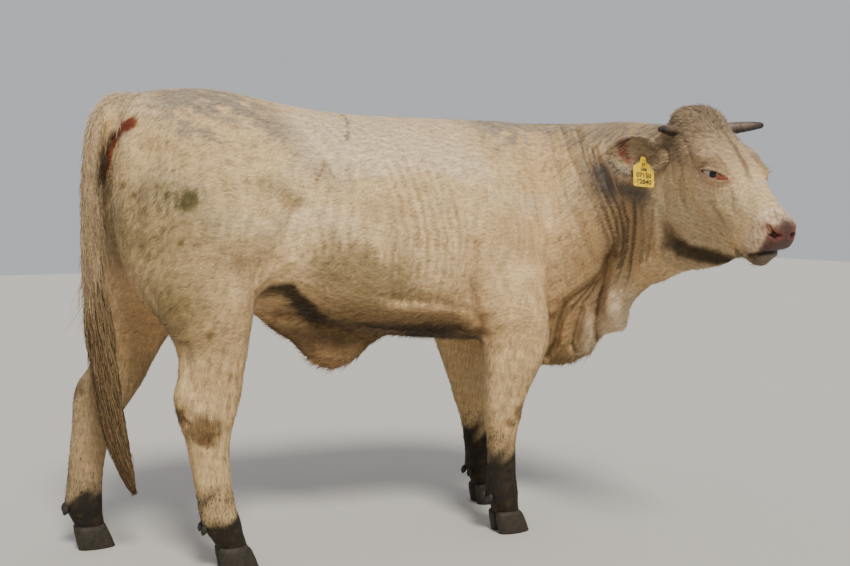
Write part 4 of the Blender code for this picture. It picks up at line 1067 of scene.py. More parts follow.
    def _front(self, lay: Lay, design: Array, normals: Array, fine: Array) -> None:
        """Lay the warm tones of neck, dewlap and brisket, painted shade in their folds, where the neck faces
        down and under the ear, and painted light on the dewlap's lobes.

        Args:
            lay: Lays a colour over what is there.
            design: Places in the design.
            normals: Outward directions there.
            fine: Not used.
        """
        x, y, z = design.T
        local = HEAD.local(design + np.array(SHIFT))
        seen = ramp(-(normals @ FOLD_HEADING), -0.05, 0.30) * (x > 0.45) * (y < 0.02)
        facing = seen * HEAD.neck_side(design + np.array(SHIFT))
        flat = fold_plane(design)
        neck = ramp(x, 0.46, 0.60) * HEAD.neck_side(design + np.array(SHIFT))
        lay(self.tan, 0.24 * neck * ramp(z, 1.16, 0.95))
        lay(self.ochre, 0.38 * neck * ramp(local[:, 0], -0.02, 0.05) * (y < 0) * ramp(z, 0.76, 0.86))
        # Ochre where the neck faces down: painted shade.
        lay(self.ochre, 0.25 * neck * ramp(-normals[:, 2], 0.2, 0.8) * ramp(z, 0.80, 0.70))
        inner = ramp(flat[:, 0], 0.740, 0.790) * ramp(z, 0.72, 0.82) * ramp(z, 1.06, 0.98)
        lay(self.ochre, 0.16 * inner * facing)
        # Painted shade in and around the folds of the neck.
        for stroke in ANATOMY.folds:
            deep = min(1.0, -stroke.height / 0.009)
            lay(self.shade, 0.18 * deep * stroke.share(flat, 1.9) * facing)
            lay(self.shadow, 0.84 * min(1.0, 0.15 + deep) * stroke.share(flat, 0.50) * facing)
        # Painted light, with a pink tint, on the dewlap's lobes, which face down and away from the key light.
        lobe = Stroke(0.034, 0, ((0.774, 0.670), (0.785, 0.620), (0.797, 0.580)))
        under = ramp(-(normals @ FOLD_HEADING), -0.95, -0.50) * (x > 0.45) * (y < 0.10)
        lay(self.light, 0.98 * lobe.share(flat, 1.60) * under)
        lay(self.pink, 0.30 * lobe.share(flat, 0.8) * under)
        lay(self.light, 0.85 * Stroke(0.026, 0, ((0.712, 0.620), (0.705, 0.530))).share(flat) * under)
        lay(self.ochre, 0.70 * Stroke(0.020, 0, ((0.758, 0.800), (0.747, 0.700), (0.740, 0.650))).share(flat)
            * facing)
        lay(self.peach, 0.45 * Stroke(0.045, 0, ((0.700, 0.640), (0.650, 0.560))).share(flat) * facing)
        # Painted shade in the brisket's folds, with warm ochre round them.
        for stroke in ANATOMY.brisket:
            lay(self.ochre, 0.22 * stroke.share(flat, 2.0) * facing)
            lay(self.shadow, 0.66 * stroke.share(flat, 0.62) * facing)
        # Painted shadow of the ear on the neck behind the jaw.
        lay(self.shade, 0.95 * Stroke(0.034, 0, ((0.728, 1.040), (0.750, 0.998), (0.775, 0.985),
                                                 (0.812, 0.972))).share(flat) * seen
            * ramp(HEAD.jaw_rear(local), 0.020, 0.000))

    def _legs(self, lay: Lay, points: Array, fine: Array, speckled: bool) -> None:
        """Lay soiling, brown patches and mud on the limbs, and painted shade on the lower far hind leg.

        Args:
            lay: Lays a colour over what is there.
            points: Places to value.
            fine: Small blotches, from about -1 to 1.
            speckled: Whether the places are hairs, fine enough for speckles.
        """
        x, y, z = points.T
        hind = x < -0.1
        lay(self.dirt, 0.35 * ramp(z, 0.60, 0.40) * (0.8 + 0.4 * fine))
        patch = 0.30 * waves(points * (1, 1, 1.6), 0.022, 23, 3)
        for place, reach, depth in (((-0.520, -0.200, 0.412), 0.036, 0.97),
                                    ((-0.452, -0.215, 0.380), 0.048, 0.80),
                                    ((-0.440, -0.215, 0.350), 0.026, 0.75),
                                    ((-0.745, 0.170, 0.445), 0.045, 0.80),
                                    ((0.462, -0.210, 0.353), 0.034, 0.80),
                                    ((0.545, 0.120, 0.350), 0.030, 0.80),
                                    ((0.425, -0.200, 0.330), 0.020, 0.60)):
            near = np.linalg.norm((points - place) * (1.0, 0.6, 1.15), axis=1) / reach
            lay(self.brown, depth * ramp(near + patch, 1.20, 0.65))
        # The far hind leg darkens lower down: painted shade.
        lay(self.chin, 0.50 * hind * ramp(y, 0.02, 0.08) * ramp(z, 0.58, 0.44))
        edge = np.where(hind, 0.150, 0.235) + 0.030 * waves(points, 0.09, 21, 2)
        speck = 0.100 * grain(points, 22) ** 1.5 if speckled else 0.020
        lay(self.grime, 0.45 * ramp(z, edge + 0.10, edge))
        lay(self.mud, 0.96 * ramp(z - speck, edge + 0.006, edge - (0.006 if speckled else 0.040)))
        lay(self.brown, 0.18 * ramp(waves(points, 0.04, 25, 3), 0.2, 0.8) * ramp(z, edge, edge - 0.02))

    def _head(self, lay: Lay, points: Array, normals: Array, fine: Array) -> None:
        """Lay the colours of poll, face, muzzle, lips, nostrils and lids, with painted shade in the creases,
        mouth and nostrils, over the eyes and under the jaw.

        Args:
            lay: Lays a colour over what is there.
            points: Places to value.
            normals: Outward directions there.
            fine: Small blotches, from about -1 to 1.
        """
        local = HEAD.local(points)
        x, y, z = local.T
        side = np.abs(y)
        on = ramp(x, -0.08, -0.02) * HEAD.near(local, 0.34) * (z > -0.33)
        on = on * ramp(HEAD.jaw_rear(local), -0.025, 0.000)
        # The lower face darker and the top of the nose lighter: their tones, in part painted shade and
        # painted light.
        lay(self.cheek, 0.70 * on * ramp(z, -0.04, -0.14) * ramp(x, 0.36, 0.28))
        lay(self.forehead, 0.80 * on * ramp(z, -0.11, -0.05) * ramp(x, 0.28, 0.16))
        lay(self.poll, 0.88 * on * ramp(x, 0.13, 0.04) * ramp(z, -0.12, -0.06))
        lay(self.nose, 0.75 * on * ramp(z, -0.10, -0.03) * ramp(x, 0.22, 0.28) * ramp(x, 0.395, 0.365))
        streak = path_distance(to_design(points), FACE.streak)
        lay(self.dark_streak, 0.80 * on * ramp(streak + 0.003 * fine, 0.013, 0.003) * ramp(x, 0.30, 0.20))
        whorl = np.abs(y - 0.006 * np.sin(x * 40)) / (0.006 + 0.016 * ramp(x, 0.08, 0.0))
        lay(self.dark_streak, 0.55 * on * np.exp(-whorl ** 2) * ramp(x, 0.13, 0.07))
        mirrored = np.stack([x, side, z], 1)
        band = path_distance(mirrored, FACE.throat)
        lay(self.ochre, 0.55 * on * ramp(band, 0.050, 0.015) * ramp(x, 0.335, 0.300)
            * ramp(z, -0.225, -0.250))
        lay(self.shadow, 0.97 * on * ramp(band + 0.003 * fine, 0.032, 0.012) * ramp(x, 0.345, 0.310)
            * ramp(x, 0.100, 0.190))
        # Painted shade in the wrinkles at the ear's base and in the face's creases.
        for line in FACE.ear_base:
            lay(self.crease, 0.40 * ramp(x, -0.06, -0.03) * ramp(path_distance(mirrored, line), 0.007, 0.002))
        for stroke in FACE.creases:
            if stroke.height < 0 and stroke.path[0][0] < 0.30:
                lay(self.crease, 0.42 * on * stroke.share(mirrored, 0.70))
        front = ramp(x + 0.25 * z, 0.322, 0.340) * on
        lay(self.muzzle, 0.80 * front)
        lay(self.freckle, 0.60 * front * ramp(waves(points, 0.014, 33, 2), 0.30, 0.62) * ramp(x, 0.41, 0.39))
        pad = on * ramp(x - 0.25 * side + 0.0035 * fine, 0.382, 0.396)
        mottle = waves(points, 0.016, 35, 3)
        lay(self.pad, 0.92 * pad)
        lay(self.pink, 0.16 * pad * ramp(mottle, 0.25, 0.8))
        lay(self.rim, 0.34 * on * ramp(np.linalg.norm(mirrored - (0.412, 0.030, -0.098), axis=1) + 0.006
                                       * fine, 0.022, 0.008))
        lay(self.snout, 0.85 * on * ramp(x - 0.45 * side - 0.15 * z + 0.006 * mottle, 0.392, 0.412))
        lay(self.snout, 0.55 * on * ramp(x, 0.36, 0.39) * ramp(z, -0.044, -0.036))
        below = z - np.interp(x, *np.array(FACE.mouth_line).T)
        lay(self.chin, 0.80 * on * (x > 0.325) * ramp(below + 0.003 * fine, -0.002, -0.010))
        lay(self.grime, 0.40 * on * (x > 0.325) * ramp(below, -0.002, -0.010) * ramp(mottle, -0.1, 0.6))
        # The mouth's line: dark lip skin and painted shade in the crack between the lips.
        lay(self.lip, 0.97 * on * np.exp(-(path_distance(local[:, [0, 2]], FACE.mouth_line) / 0.0055) ** 2)
            * ramp(x, 0.334, 0.352))
        # Each nostril: a red rim, and its opening near black as painted shade in the recess.
        for sign in (-1, 1):
            nostril = path_distance(local * (1, sign, 1), FACE.nostril_line)
            lay(self.rim, 0.75 * np.exp(-(nostril / 0.012) ** 2) * on)
            lay(self.nostril, 0.99 * ramp(nostril, 0.0092, 0.0058) * on)
        near = np.linalg.norm((local - (HEAD.eye[0], 0, HEAD.eye[2])) * (1, 0, 1), axis=1)
        lay(self.pink, 0.35 * on * ramp(near, 0.050, 0.030) * (side > 0.05) * ramp(z, -0.03, -0.06))
        # Darker over the eye: painted shade under the brow.
        lay(self.crease, 0.45 * on * ramp(near, 0.060, 0.035) * (side > 0.05) * ramp(z, -0.030, -0.010))


@dataclass
class Eye:
    """An eyeball between its lids, with wet rims, a tear corner and lashes."""

    side: Side
    marks: Markings
    half_length: float = 0.0375
    rise: float = 0.0105
    fall: float = 0.0095
    skew: float = 0.25
    slant: float = math.radians(17)
    look: tuple[float, float, float] = (0.30, 1.00, 0.12)
    radii: tuple[float, float, float] = (0.0430, 0.0270, 0.0255)
    rings: int = 44
    corners: int = 72
    lashes: int = 46

    def dome(self, a: Array, b: Array) -> Array:
        """Say how far the eyeball stands out at a place along the slit and up it."""
        along, up, out = self.radii
        return out * np.sqrt(np.clip(1 - (a / along) ** 2 - (b / up) ** 2, 0.02, 1))

    def axes(self) -> tuple[Vector, Vector, Vector]:
        """Return the directions along the slit, up it and out of the eye.

        Returns:
            The three directions.
        """
        out = HEAD.direction(self.look, self.side)
        forward, _, up = HEAD.axes
        along = forward * math.cos(self.slant) + up * math.sin(self.slant)
        along = (along - out * along.dot(out)).normalized()
        return along, along.cross(out) * self.side.value, out

    def frame(self) -> tuple[Array, Array, Array, Array]:
        """Return the middle of the ball and its axes as arrays."""
        return np.array(HEAD.eye_centre(self.side)), *(np.array(axis) for axis in self.axes())

    def outline(self, t: Array) -> tuple[Array, Array]:
        """Give the slit's outline for a turn that starts at its front corner.

        Args:
            t: Turns in radians.

        Returns:
            Places along the slit and up it.
        """
        s = np.cos(t)
        arch = np.maximum(1 - s * s, 0) ** 0.62
        up = np.where(np.sin(t) > 0, self.rise * arch * (1 + self.skew * s),
                      -self.fall * arch * (1 - self.skew * s))
        return s * self.half_length, up

    def share(self, a: Array, b: Array) -> Array:
        """Say how far out of the slit a place lies: 1 on its outline.

        Args:
            a: Places along the slit.
            b: Places up the slit.

        Returns:
            How far out each place lies.
        """
        s = np.clip(a / self.half_length, -1, 1)
        arch = np.maximum(1 - s * s, 1e-4) ** 0.62
        limit = np.where(b > 0, self.rise * (1 + self.skew * s), self.fall * (1 - self.skew * s))
        limit = limit * np.maximum(arch, 0.05)
        return np.where(np.abs(a) > self.half_length, 1 + (np.abs(a) - self.half_length) / 0.005,
                        np.abs(b) / limit)

    def press(self, mesh: bpy.types.Mesh) -> None:
        """Shape the skin into lids round the ball and open the slit.

        Args:
            mesh: Skin to shape.
        """
        centre, along, up, out = self.frame()
        points = places(mesh)
        rel = points - centre
        a, b, c = rel @ along, rel @ up, rel @ out
        near = (np.abs(a) < 0.070) & (np.abs(b) < 0.055) & (c > -0.010)
        a, b, c = a[near], b[near], c[near]
        outside = self.share(a, b)
        arch = np.maximum(1 - np.clip(a / self.half_length, -1, 1) ** 2, 0) ** 0.62
        edge = np.where(b > 0, self.rise * (1 + self.skew * a / self.half_length),
                        self.fall * (1 - self.skew * a / self.half_length)) * arch
        gap = np.hypot(np.maximum(np.abs(b) - edge, 0), np.maximum(np.abs(a) - self.half_length, 0))
        ball = self.dome(a, b)
        upper = 0.0030 * np.exp(-((gap - 0.0085) / 0.0022) ** 2) * (b > 0)
        lower = 0.0016 * np.exp(-((gap - 0.0080) / 0.0024) ** 2) * (b < 0)
        lid = ball + 0.0030 + 0.0016 * ramp(gap, 0.0, 0.004) + (-upper - lower)
        blend = ramp(gap, 0.024, 0.003)
        depth = c * (1 - blend) + lid * blend
        inside = (a / self.radii[0]) ** 2 + (b / self.radii[1]) ** 2 < 1.1
        depth = np.where((outside >= 1) & inside & (c > 0), np.maximum(depth, ball + 0.0022), depth)
        depth = np.where(outside < 1, ball - 0.0035 * ramp(outside, 1.0, 0.85), depth)
        points[near] = centre + a[:, None] * along + b[:, None] * up + depth[:, None] * out
        move(mesh, points)

    def ball(self) -> bpy.types.Object:
        """Build the eyeball with its white, dark iris, long pupil and clear bulge.

        Returns:
            The eyeball.
        """
        centre, along, up, out = self.frame()
        polar = np.linspace(0, math.pi, self.rings)[1:-1]
        turn = np.arange(self.corners) * 2 * math.pi / self.corners
        r, t = np.meshgrid(polar, turn, indexing="ij")
        wide, tall, deep = self.radii
        a, b, c = wide * np.sin(r) * np.cos(t), tall * np.sin(r) * np.sin(t), deep * np.cos(r)
        c = c + 0.0011 * np.exp(-(np.hypot(a, b) / 0.0115) ** 4) * (c > 0)
        hidden = ramp(self.share(a, b), 1.05, 1.9)
        b = b * (1 - 0.45 * hidden)
        c = c - 0.0350 * hidden
        body = np.stack([a, b, c], -1).reshape(-1, 3)
        local = np.vstack([body, [[0, 0, deep + 0.0011], [0, 0, -deep]]])
        points = centre + local @ np.array([along, up, out])
        faces = ring_faces(len(polar), self.corners)
        u, v = local[:, 0], local[:, 1]
        ahead = local[:, 2] > 0
        white, iris, pupil = tint("#B4A697"), tint("#1B100B"), tint("#030303")
        colours = np.tile(white, (len(local), 1))
        veins = np.clip(0.30 * ramp(waves(points, 0.006, 31, 2), 0.1, 0.8) + 0.95 * ramp(u, 0.009, 0.013), 0,
                        1)
        colours += (tint("#A0553B") - colours) * veins[:, None]
        colours += (tint("#2A1A14") - colours) * (0.85 * ramp(u, -0.026, -0.034))[:, None]
        share = ramp(np.hypot(u - 0.0005, (v - 0.0025) * 0.95), 0.0108, 0.0096) * ahead
        ray = 0.25 * waves(np.stack([np.arctan2(v, u + 0.002) * 0.02, 0 * u, 0 * u], 1), 0.004, 32, 2)
        colours += (iris * (1 + ray)[:, None] - colours) * share[:, None]
        slot = ramp(np.hypot((u - 0.0005) / 0.0066, (v - 0.0025) / 0.0042), 1.10, 0.92) * ahead
        colours += (pupil - colours) * slot[:, None]
        if np.linalg.det(np.array([along, up, out])) > 0:
            faces = faces[:, ::-1]
        return mesh_object(f"eyeball_{self.side.word}", points, faces, colours)

    def rim(self) -> bpy.types.Object:
        """Build the wet red rim of both lids and the tear corner.

        Returns:
            The rim.
        """
        centre, along, up, out = self.frame()
        steps = 72
        t = np.arange(steps) * 2 * math.pi / steps
        a, b = self.outline(t)
        line = centre + a[:, None] * along + b[:, None] * up + (self.dome(a, b) + 0.0014)[:, None] * out
        ahead = unit(np.roll(line, -1, axis=0) - np.roll(line, 1, axis=0))
        side = unit(np.cross(ahead, out))
        lift = np.cross(side, ahead)
        corners = 8
        thick = 0.0015 + 0.0006 * ramp(np.cos(t), 0.70, 0.99) + 0.0006 * ramp(-np.sin(t), 0.2, 0.8)
        turn = np.arange(corners) * 2 * math.pi / corners
        body = line[:, None] + thick[:, None, None] * (side[:, None] * np.cos(turn)[None, :, None]
                                                       + lift[:, None] * np.sin(turn)[None, :, None])
        faces = ring_faces(steps, corners, looped=True)[:, ::-1]
        front = ramp(np.cos(t), 0.10, 0.80)[:, None, None]
        below = ramp(-np.sin(t), 0.1, 0.7)[:, None, None] * (1 - front)
        colours = tint("#2E1E18") * (1 - front) + tint("#9A4A2E") * front
        colours = colours * (1 - below) + tint("#B98468") * below
        colours = np.broadcast_to(colours, body.shape).reshape(-1, 3)
        spots = ((0.0165, 0.0012, 0.0060, 0.0060, -0.0016), (0.0220, -0.0004, 0.0055, 0.0050, -0.0008),
                 (0.0275, -0.0010, 0.0048, 0.0036, 0.0000), (0.0320, -0.0008, 0.0034, 0.0022, 0.0006))
        lumps = []
        for place, height, length, width, stand in spots:
            depth = float(self.dome(np.array(place), np.array(height))) + stand
            mid = centre + along * place + up * height + out * depth
            step = np.linspace(-1, 1, 9)
            line = mid + along * (step * length)[:, None] - out * (0.0022 * step ** 2)[:, None]
            lumps.append(tube(line, width * np.sqrt(np.maximum(1 - step ** 2, 0.02)), out, 12, 0.55))
        verts, tris = joined(lumps)
        points, triangles = joined([(body.reshape(-1, 3), faces), (verts, tris)])
        flesh = tint("#A85A3C") * (1 + 0.35 * waves(verts, 0.008, 34))[:, None]
        colours = np.vstack([colours, flesh])
        return mesh_object(f"lid_rims_{self.side.word}", points, triangles, colours)

    def lash_set(self, chance: np.random.Generator) -> bpy.types.Object:
        """Build pale lashes along the upper lid and a few on the lower one.

        Args:
            chance: Source of the spread of the lashes.

        Returns:
            The lashes.
        """
        centre, along, up, out = self.frame()
        parts = []
        for n in range(self.lashes):
            upper = n < self.lashes * 0.7
            t = chance.uniform(0.45, 2.75) if upper else chance.uniform(3.6, 5.6)
            a, b = self.outline(np.array([t]))
            depth = float(self.dome(a, b)[0])
            root = centre + a[0] * along + b[0] * up + (depth + 0.0022) * out
            droop = 0.15 if upper else -0.25
            lean = unit(out * 0.95 + up * (0.45 if upper else -0.5) + along * chance.uniform(-0.35, 0.10))
            length = chance.uniform(0.012, 0.020) if upper else chance.uniform(0.006, 0.010)
            s = np.linspace(0, 1, 5)[:, None]
            line = root + lean * length * s - up * length * droop * s ** 2
            parts.append(tube(line, 0.00055 * (1.05 - np.linspace(0, 1, 5) ** 1.5), along, 3))
        points, faces = joined(parts)
        shade = 0.85 + 0.3 * chance.random((len(points), 1))
        colours = np.tile(tint("#B79F80"), (len(points), 1)) * shade
        return mesh_object(f"lashes_{self.side.word}", points, faces, colours)

    def build(self, wet: bpy.types.Material, hair: bpy.types.Material, chance: np.random.Generator) -> None:
        """Place ball, rims and lashes in the frame.

        Args:
            wet: Finish of wet tissue.
            hair: Finish of the hair.
            chance: Source of the random spread.
        """
        ball, rim, lashes = self.ball(), self.rim(), self.lash_set(chance)
        install(ball, wet, "eye", f"eye_{self.side.word}")
        install(rim, wet, "eye")
        install(lashes, hair, "coat")


@dataclass
class Skin:
    """The one skin over all flesh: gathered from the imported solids, smoothed, sculpted and drawn in."""

    marks: Markings
    voxel: float = 0.0080
    swell: float = 0.0006
    rounds: int = 6
    depth_body: float = 0.0045
    depth_face: float = 0.0018
    flesh: tuple[str, ...] = field(default_factory=lambda: tuple(
        ["torso", "neck", "head", "tail_dock"]
        + [f"leg_{end}_{side}_{part}" for end in ("fore", "hind") for side in ("left", "right")
           for part in ("upper", "lower")]))

    def gather(self) -> bpy.types.Object:
        """Fuse copies of the flesh nodes and both eyeballs into one surface.

        Returns:
            The raw skin.
        """
        bm = bmesh.new()
        for name in self.flesh + ("eye_left", "eye_right"):
            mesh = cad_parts[name].data.copy()
            part = bmesh.new()
            part.from_mesh(mesh)
            bmesh.ops.remove_doubles(part, verts=part.verts, dist=0.00002)
            part.normal_update()
            for vert in part.verts:
                vert.co += vert.normal * self.swell
            part.to_mesh(mesh)
            part.free()
            bm.from_mesh(mesh)
            bpy.data.meshes.remove(mesh)
        mesh = bpy.data.meshes.new("skin")
        bm.to_mesh(mesh)
        bm.free()
        obj = new_object("skin", mesh)
        fuse = obj.modifiers.new("fuse", "REMESH")
        fuse.mode = "VOXEL"
        fuse.voxel_size = self.voxel
        fused = worked_out(obj)
        obj.modifiers.clear()
        obj.data = fused
        bpy.data.meshes.remove(mesh)
        return obj

    @staticmethod
    def relax(mesh: bpy.types.Mesh, share: Array, rounds: int) -> None:
        """Even out bumps without drawing the form in.

        Args:
            mesh: Mesh to smooth.
            share: How much each vertex takes part.
            rounds: How many times.
        """
        edges = np.empty(len(mesh.edges) * 2, dtype=np.int32)
        mesh.edges.foreach_get("vertices", edges)
        a, b = edges.reshape(-1, 2).T
        count = len(mesh.vertices)
        links = np.maximum(np.bincount(a, minlength=count) + np.bincount(b, minlength=count), 1)
        points = places(mesh)
        for step in range(rounds * 2):
            pull = np.stack([np.bincount(a, points[b, k], count) + np.bincount(b, points[a, k], count)
                             for k in range(3)], 1) / links[:, None] - points
            points += pull * (0.60 if step % 2 == 0 else -0.53) * share[:, None]
        move(mesh, points)

    @staticmethod
    def refine(obj: bpy.types.Object, chosen: Array) -> None:
        """Split the faces whose corners are all chosen into four.

        Args:
            obj: The skin.
            chosen: Whether each vertex is chosen.
        """
        bm = bmesh.new()
        bm.from_mesh(obj.data)
        bm.verts.ensure_lookup_table()
        picked = set(np.flatnonzero(chosen).tolist())
        edges = [e for e in bm.edges if e.verts[0].index in picked and e.verts[1].index in picked]
        bmesh.ops.subdivide_edges(bm, edges=edges, cuts=1, use_grid_fill=True)
        bm.to_mesh(obj.data)
        bm.free()

    @staticmethod
    def work(mesh: bpy.types.Mesh, strokes: tuple[Stroke, ...], measured: Array,
             weight: Array | float = 1.0) -> None:
        """Press or raise strokes along the normals.

        Args:
            mesh: Mesh to shape.
            strokes: What to press or raise.
            measured: The vertices in the strokes' own frame.
            weight: How much each vertex takes part.
        """
        push = sum(stroke.height * stroke.share(measured) for stroke in strokes)
        move(mesh, places(mesh) + outward(mesh) * (push * weight)[:, None])

    def work_body(self, mesh: bpy.types.Mesh) -> None:
        """Sculpt ribs, muscles, bones and the folds of neck and brisket.

        Args:
            mesh: Mesh of the piece.
        """
        design, normals = to_design(places(mesh)), outward(mesh)
        side = (design[:, 0] < 0.62) & (np.abs(design[:, 1]) < 0.34)
        self.work(mesh, ANATOMY.sides, design[:, [0, 2]], ramp(np.abs(normals[:, 1]), 0.15, 0.50) * side)
        facing = ramp(-(normals @ FOLD_HEADING), 0.0, 0.35) * (design[:, 1] < 0.02) * (design[:, 0] > 0.45)
        body = HEAD.neck_side(places(mesh))
        far_thigh = ramp(-normals[:, 0], 0.0, 0.5) * ramp(design[:, 1], 0.02, 0.05) * (design[:, 0] < -0.56)
        self.work(mesh, (Stroke(0.070, 0.0100, ((-0.640, 0.950), (-0.632, 0.820), (-0.620, 0.720))),),
                  design[:, [0, 2]], far_thigh)
        under_tail = ramp(normals[:, 0], 0.1, 0.7) * (np.abs(design[:, 1]) < 0.06) * (design[:, 0] < -0.62)
        self.work(mesh, (Stroke(0.040, 0.0060, ((-0.664, 0.980), (-0.668, 0.800))),), design[:, [0, 2]],
                  under_tail)
        under = ramp(-(normals @ FOLD_HEADING), -0.80, -0.15) * (design[:, 1] < 0.12) * (design[:, 0] > 0.45)
        self.work(mesh, ANATOMY.lobes, fold_plane(design), under * body)
        self.work(mesh, ANATOMY.folds + ANATOMY.brisket, fold_plane(design), facing * body)

    def head_share(self, points: Array, low: float = -0.05) -> Array:
        """Say which places belong to the head.

        Args:
            points: Places to value.
            low: How far behind the poll the head starts.

        Returns:
            1 on the head and 0 elsewhere.
        """
        local = HEAD.local(points)
        near = HEAD.near(local)
        return (near & (local[:, 2] > -0.32) & (local[:, 0] > low)).astype(float)

    def neck_share(self, points: Array) -> Array:
        """Say which places lie on the folded side of the neck and on the dewlap."""
        x, y, z = to_design(points).T
        return ((x > 0.57) & (y < -0.10) & (y > -0.52) & (z < 1.12)).astype(float)

    def depth(self, points: Array) -> Array:
        """Give how deep the skin lies under the outer face of the coat.

        Args:
            points: Places to value.

        Returns:
            Depths in metres.
        """
        x, y, z = to_design(points).T
        local = HEAD.local(points)
        head = self.head_share(points, -0.02)
        depth = np.full(len(points), self.depth_body)
        depth = np.where(z < 0.60, self.depth_face + (self.depth_body - self.depth_face)
                         * ramp(z, 0.45, 0.60), depth)
        face = self.depth_face + (self.depth_body - self.depth_face) * ramp(local[:, 0], 0.14, 0.04)
        depth = np.where(head > 0, face, depth)
        return depth * np.where(head > 0, ramp(local[:, 0], 0.40, 0.38) * 0.85 + 0.15, 1)

    def work_face(self, mesh: bpy.types.Mesh) -> None:
        """Sculpt the creases, the mouth and the nostrils of both sides of the face.

        Args:
            mesh: Mesh of the piece.
        """
        on = self.head_share(places(mesh))
        for sign in (-1, 1):
            local = HEAD.local(places(mesh)) * (1, sign, 1)
            self.work(mesh, FACE.creases, local, on)
            self.work(mesh, (Stroke(0.0080, -0.0040, FACE.jaw), Stroke(0.0180, -0.0080, FACE.throat)), local,
                      on)
            self.work(mesh, tuple(Stroke(0.0055, -0.0050, line) for line in FACE.ear_base), local, on)
            self.work(mesh, (Stroke(0.0080, 0.0030, FACE.old_nostril),), local)
            self.work(mesh, (Stroke(0.0120, 0.0045, FACE.nostril_line),
                             Stroke(0.0058, -0.0180, FACE.nostril_line)), local)
        local = HEAD.local(places(mesh))
        front = (np.abs(local[:, 1]) < 0.075) * ramp(local[:, 0], 0.326, 0.348)
        self.work(mesh, (Stroke(0.0120, 0.0030, FACE.mouth_line), Stroke(0.0048, -0.0110, FACE.mouth_line),
                         Stroke(0.0160, 0.0040, ((0.418, -0.098), (0.440, -0.092)))), local[:, [0, 2]], front)

    def shorten(self, mesh: bpy.types.Mesh) -> None:
        """Draw in the tip of the muzzle by a few millimetres.

        Args:
            mesh: Mesh of the piece.
        """
        points = places(mesh)
        local = HEAD.local(points)
        beyond = np.maximum(local[:, 0] - 0.395, 0) * (self.head_share(points) > 0)
        move(mesh, points - np.array(HEAD.axes[0]) * (beyond * 0.16)[:, None])

    def build(self) -> bpy.types.Object:
        """Make the skin with its colours.

        Returns:
            The skin.
        """
        obj = self.gather()
        mesh = obj.data
        points = places(mesh)
        share = np.where(self.head_share(points) > 0, 0.6, 1.0) * np.where(points[:, 2] < 0.12, 0.4, 1.0)
        self.relax(mesh, share, self.rounds)
        points = places(mesh)
        self.refine(obj, (self.head_share(points, -0.09) + self.neck_share(points)) > 0)
        mesh = obj.data
        points = places(mesh)
        self.relax(mesh, np.maximum(self.head_share(points), self.neck_share(points)) * 0.9, 3)
        points = places(mesh)
        local = HEAD.local(points)
        eye = np.array((HEAD.eye[0], 0, HEAD.eye[2]))
        round_eye = (np.linalg.norm((local - eye) * (1, 0, 1), axis=1) < 0.050) & (np.abs(local[:, 1]) > 0.04)
        mouth = path_distance(local[:, [0, 2]], FACE.mouth_line) < 0.016
        pad = (local[:, 0] > 0.370) & (local[:, 2] > -0.095)
        fine = (round_eye | mouth | pad) & (self.head_share(points) > 0)
        self.refine(obj, fine)
        mesh = obj.data
        points = places(mesh)
        self.relax(mesh, self.head_share(points, 0.12) * 0.8, 2)
        self.work_body(mesh)
        self.work_face(mesh)
        self.shorten(mesh)
        points = places(mesh)
        move(mesh, points - outward(mesh) * self.depth(points)[:, None])
        for side in Side:
            Eye(side, self.marks).press(mesh)
        bm = bmesh.new()
        bm.from_mesh(mesh)
        bmesh.ops.triangulate(bm, faces=bm.faces)
        bm.to_mesh(mesh)
        bm.free()
        mesh.shade_smooth()
        self.dress(obj)
        return obj

    def bareness(self, points: Array) -> Array:
        """Say how hairless the hide is at each place.

        Args:
            points: Places to value.

        Returns:
            0 where the hair is full, 1 where there is none.
        """
        local = HEAD.local(points)
        x, y, z = to_design(points).T
        pad = ramp(local[:, 0] - 0.25 * np.abs(local[:, 1]), 0.380, 0.394) * self.head_share(points)
        groin = ramp(np.abs(y), 0.12, 0.07) * ramp(z, 0.78, 0.70) * (x < -0.25) * (z > 0.56)
        return np.maximum(pad, groin * 0.6)

    def dress(self, obj: bpy.types.Object) -> None:
        """Give the skin its colours, its material and the attributes that the material reads.

        Args:
            obj: The skin.
        """
        mesh = obj.data
        points, normals = places(mesh), outward(mesh)
        paint(mesh, self.marks.colour(points, normals) * 0.92)
        keep_value(mesh, "bare", self.bareness(points))
        keep_vectors(mesh, "lie", LIE.coordinates(points))
        install(obj, HideFinish().make(), "coat", *self.flesh)


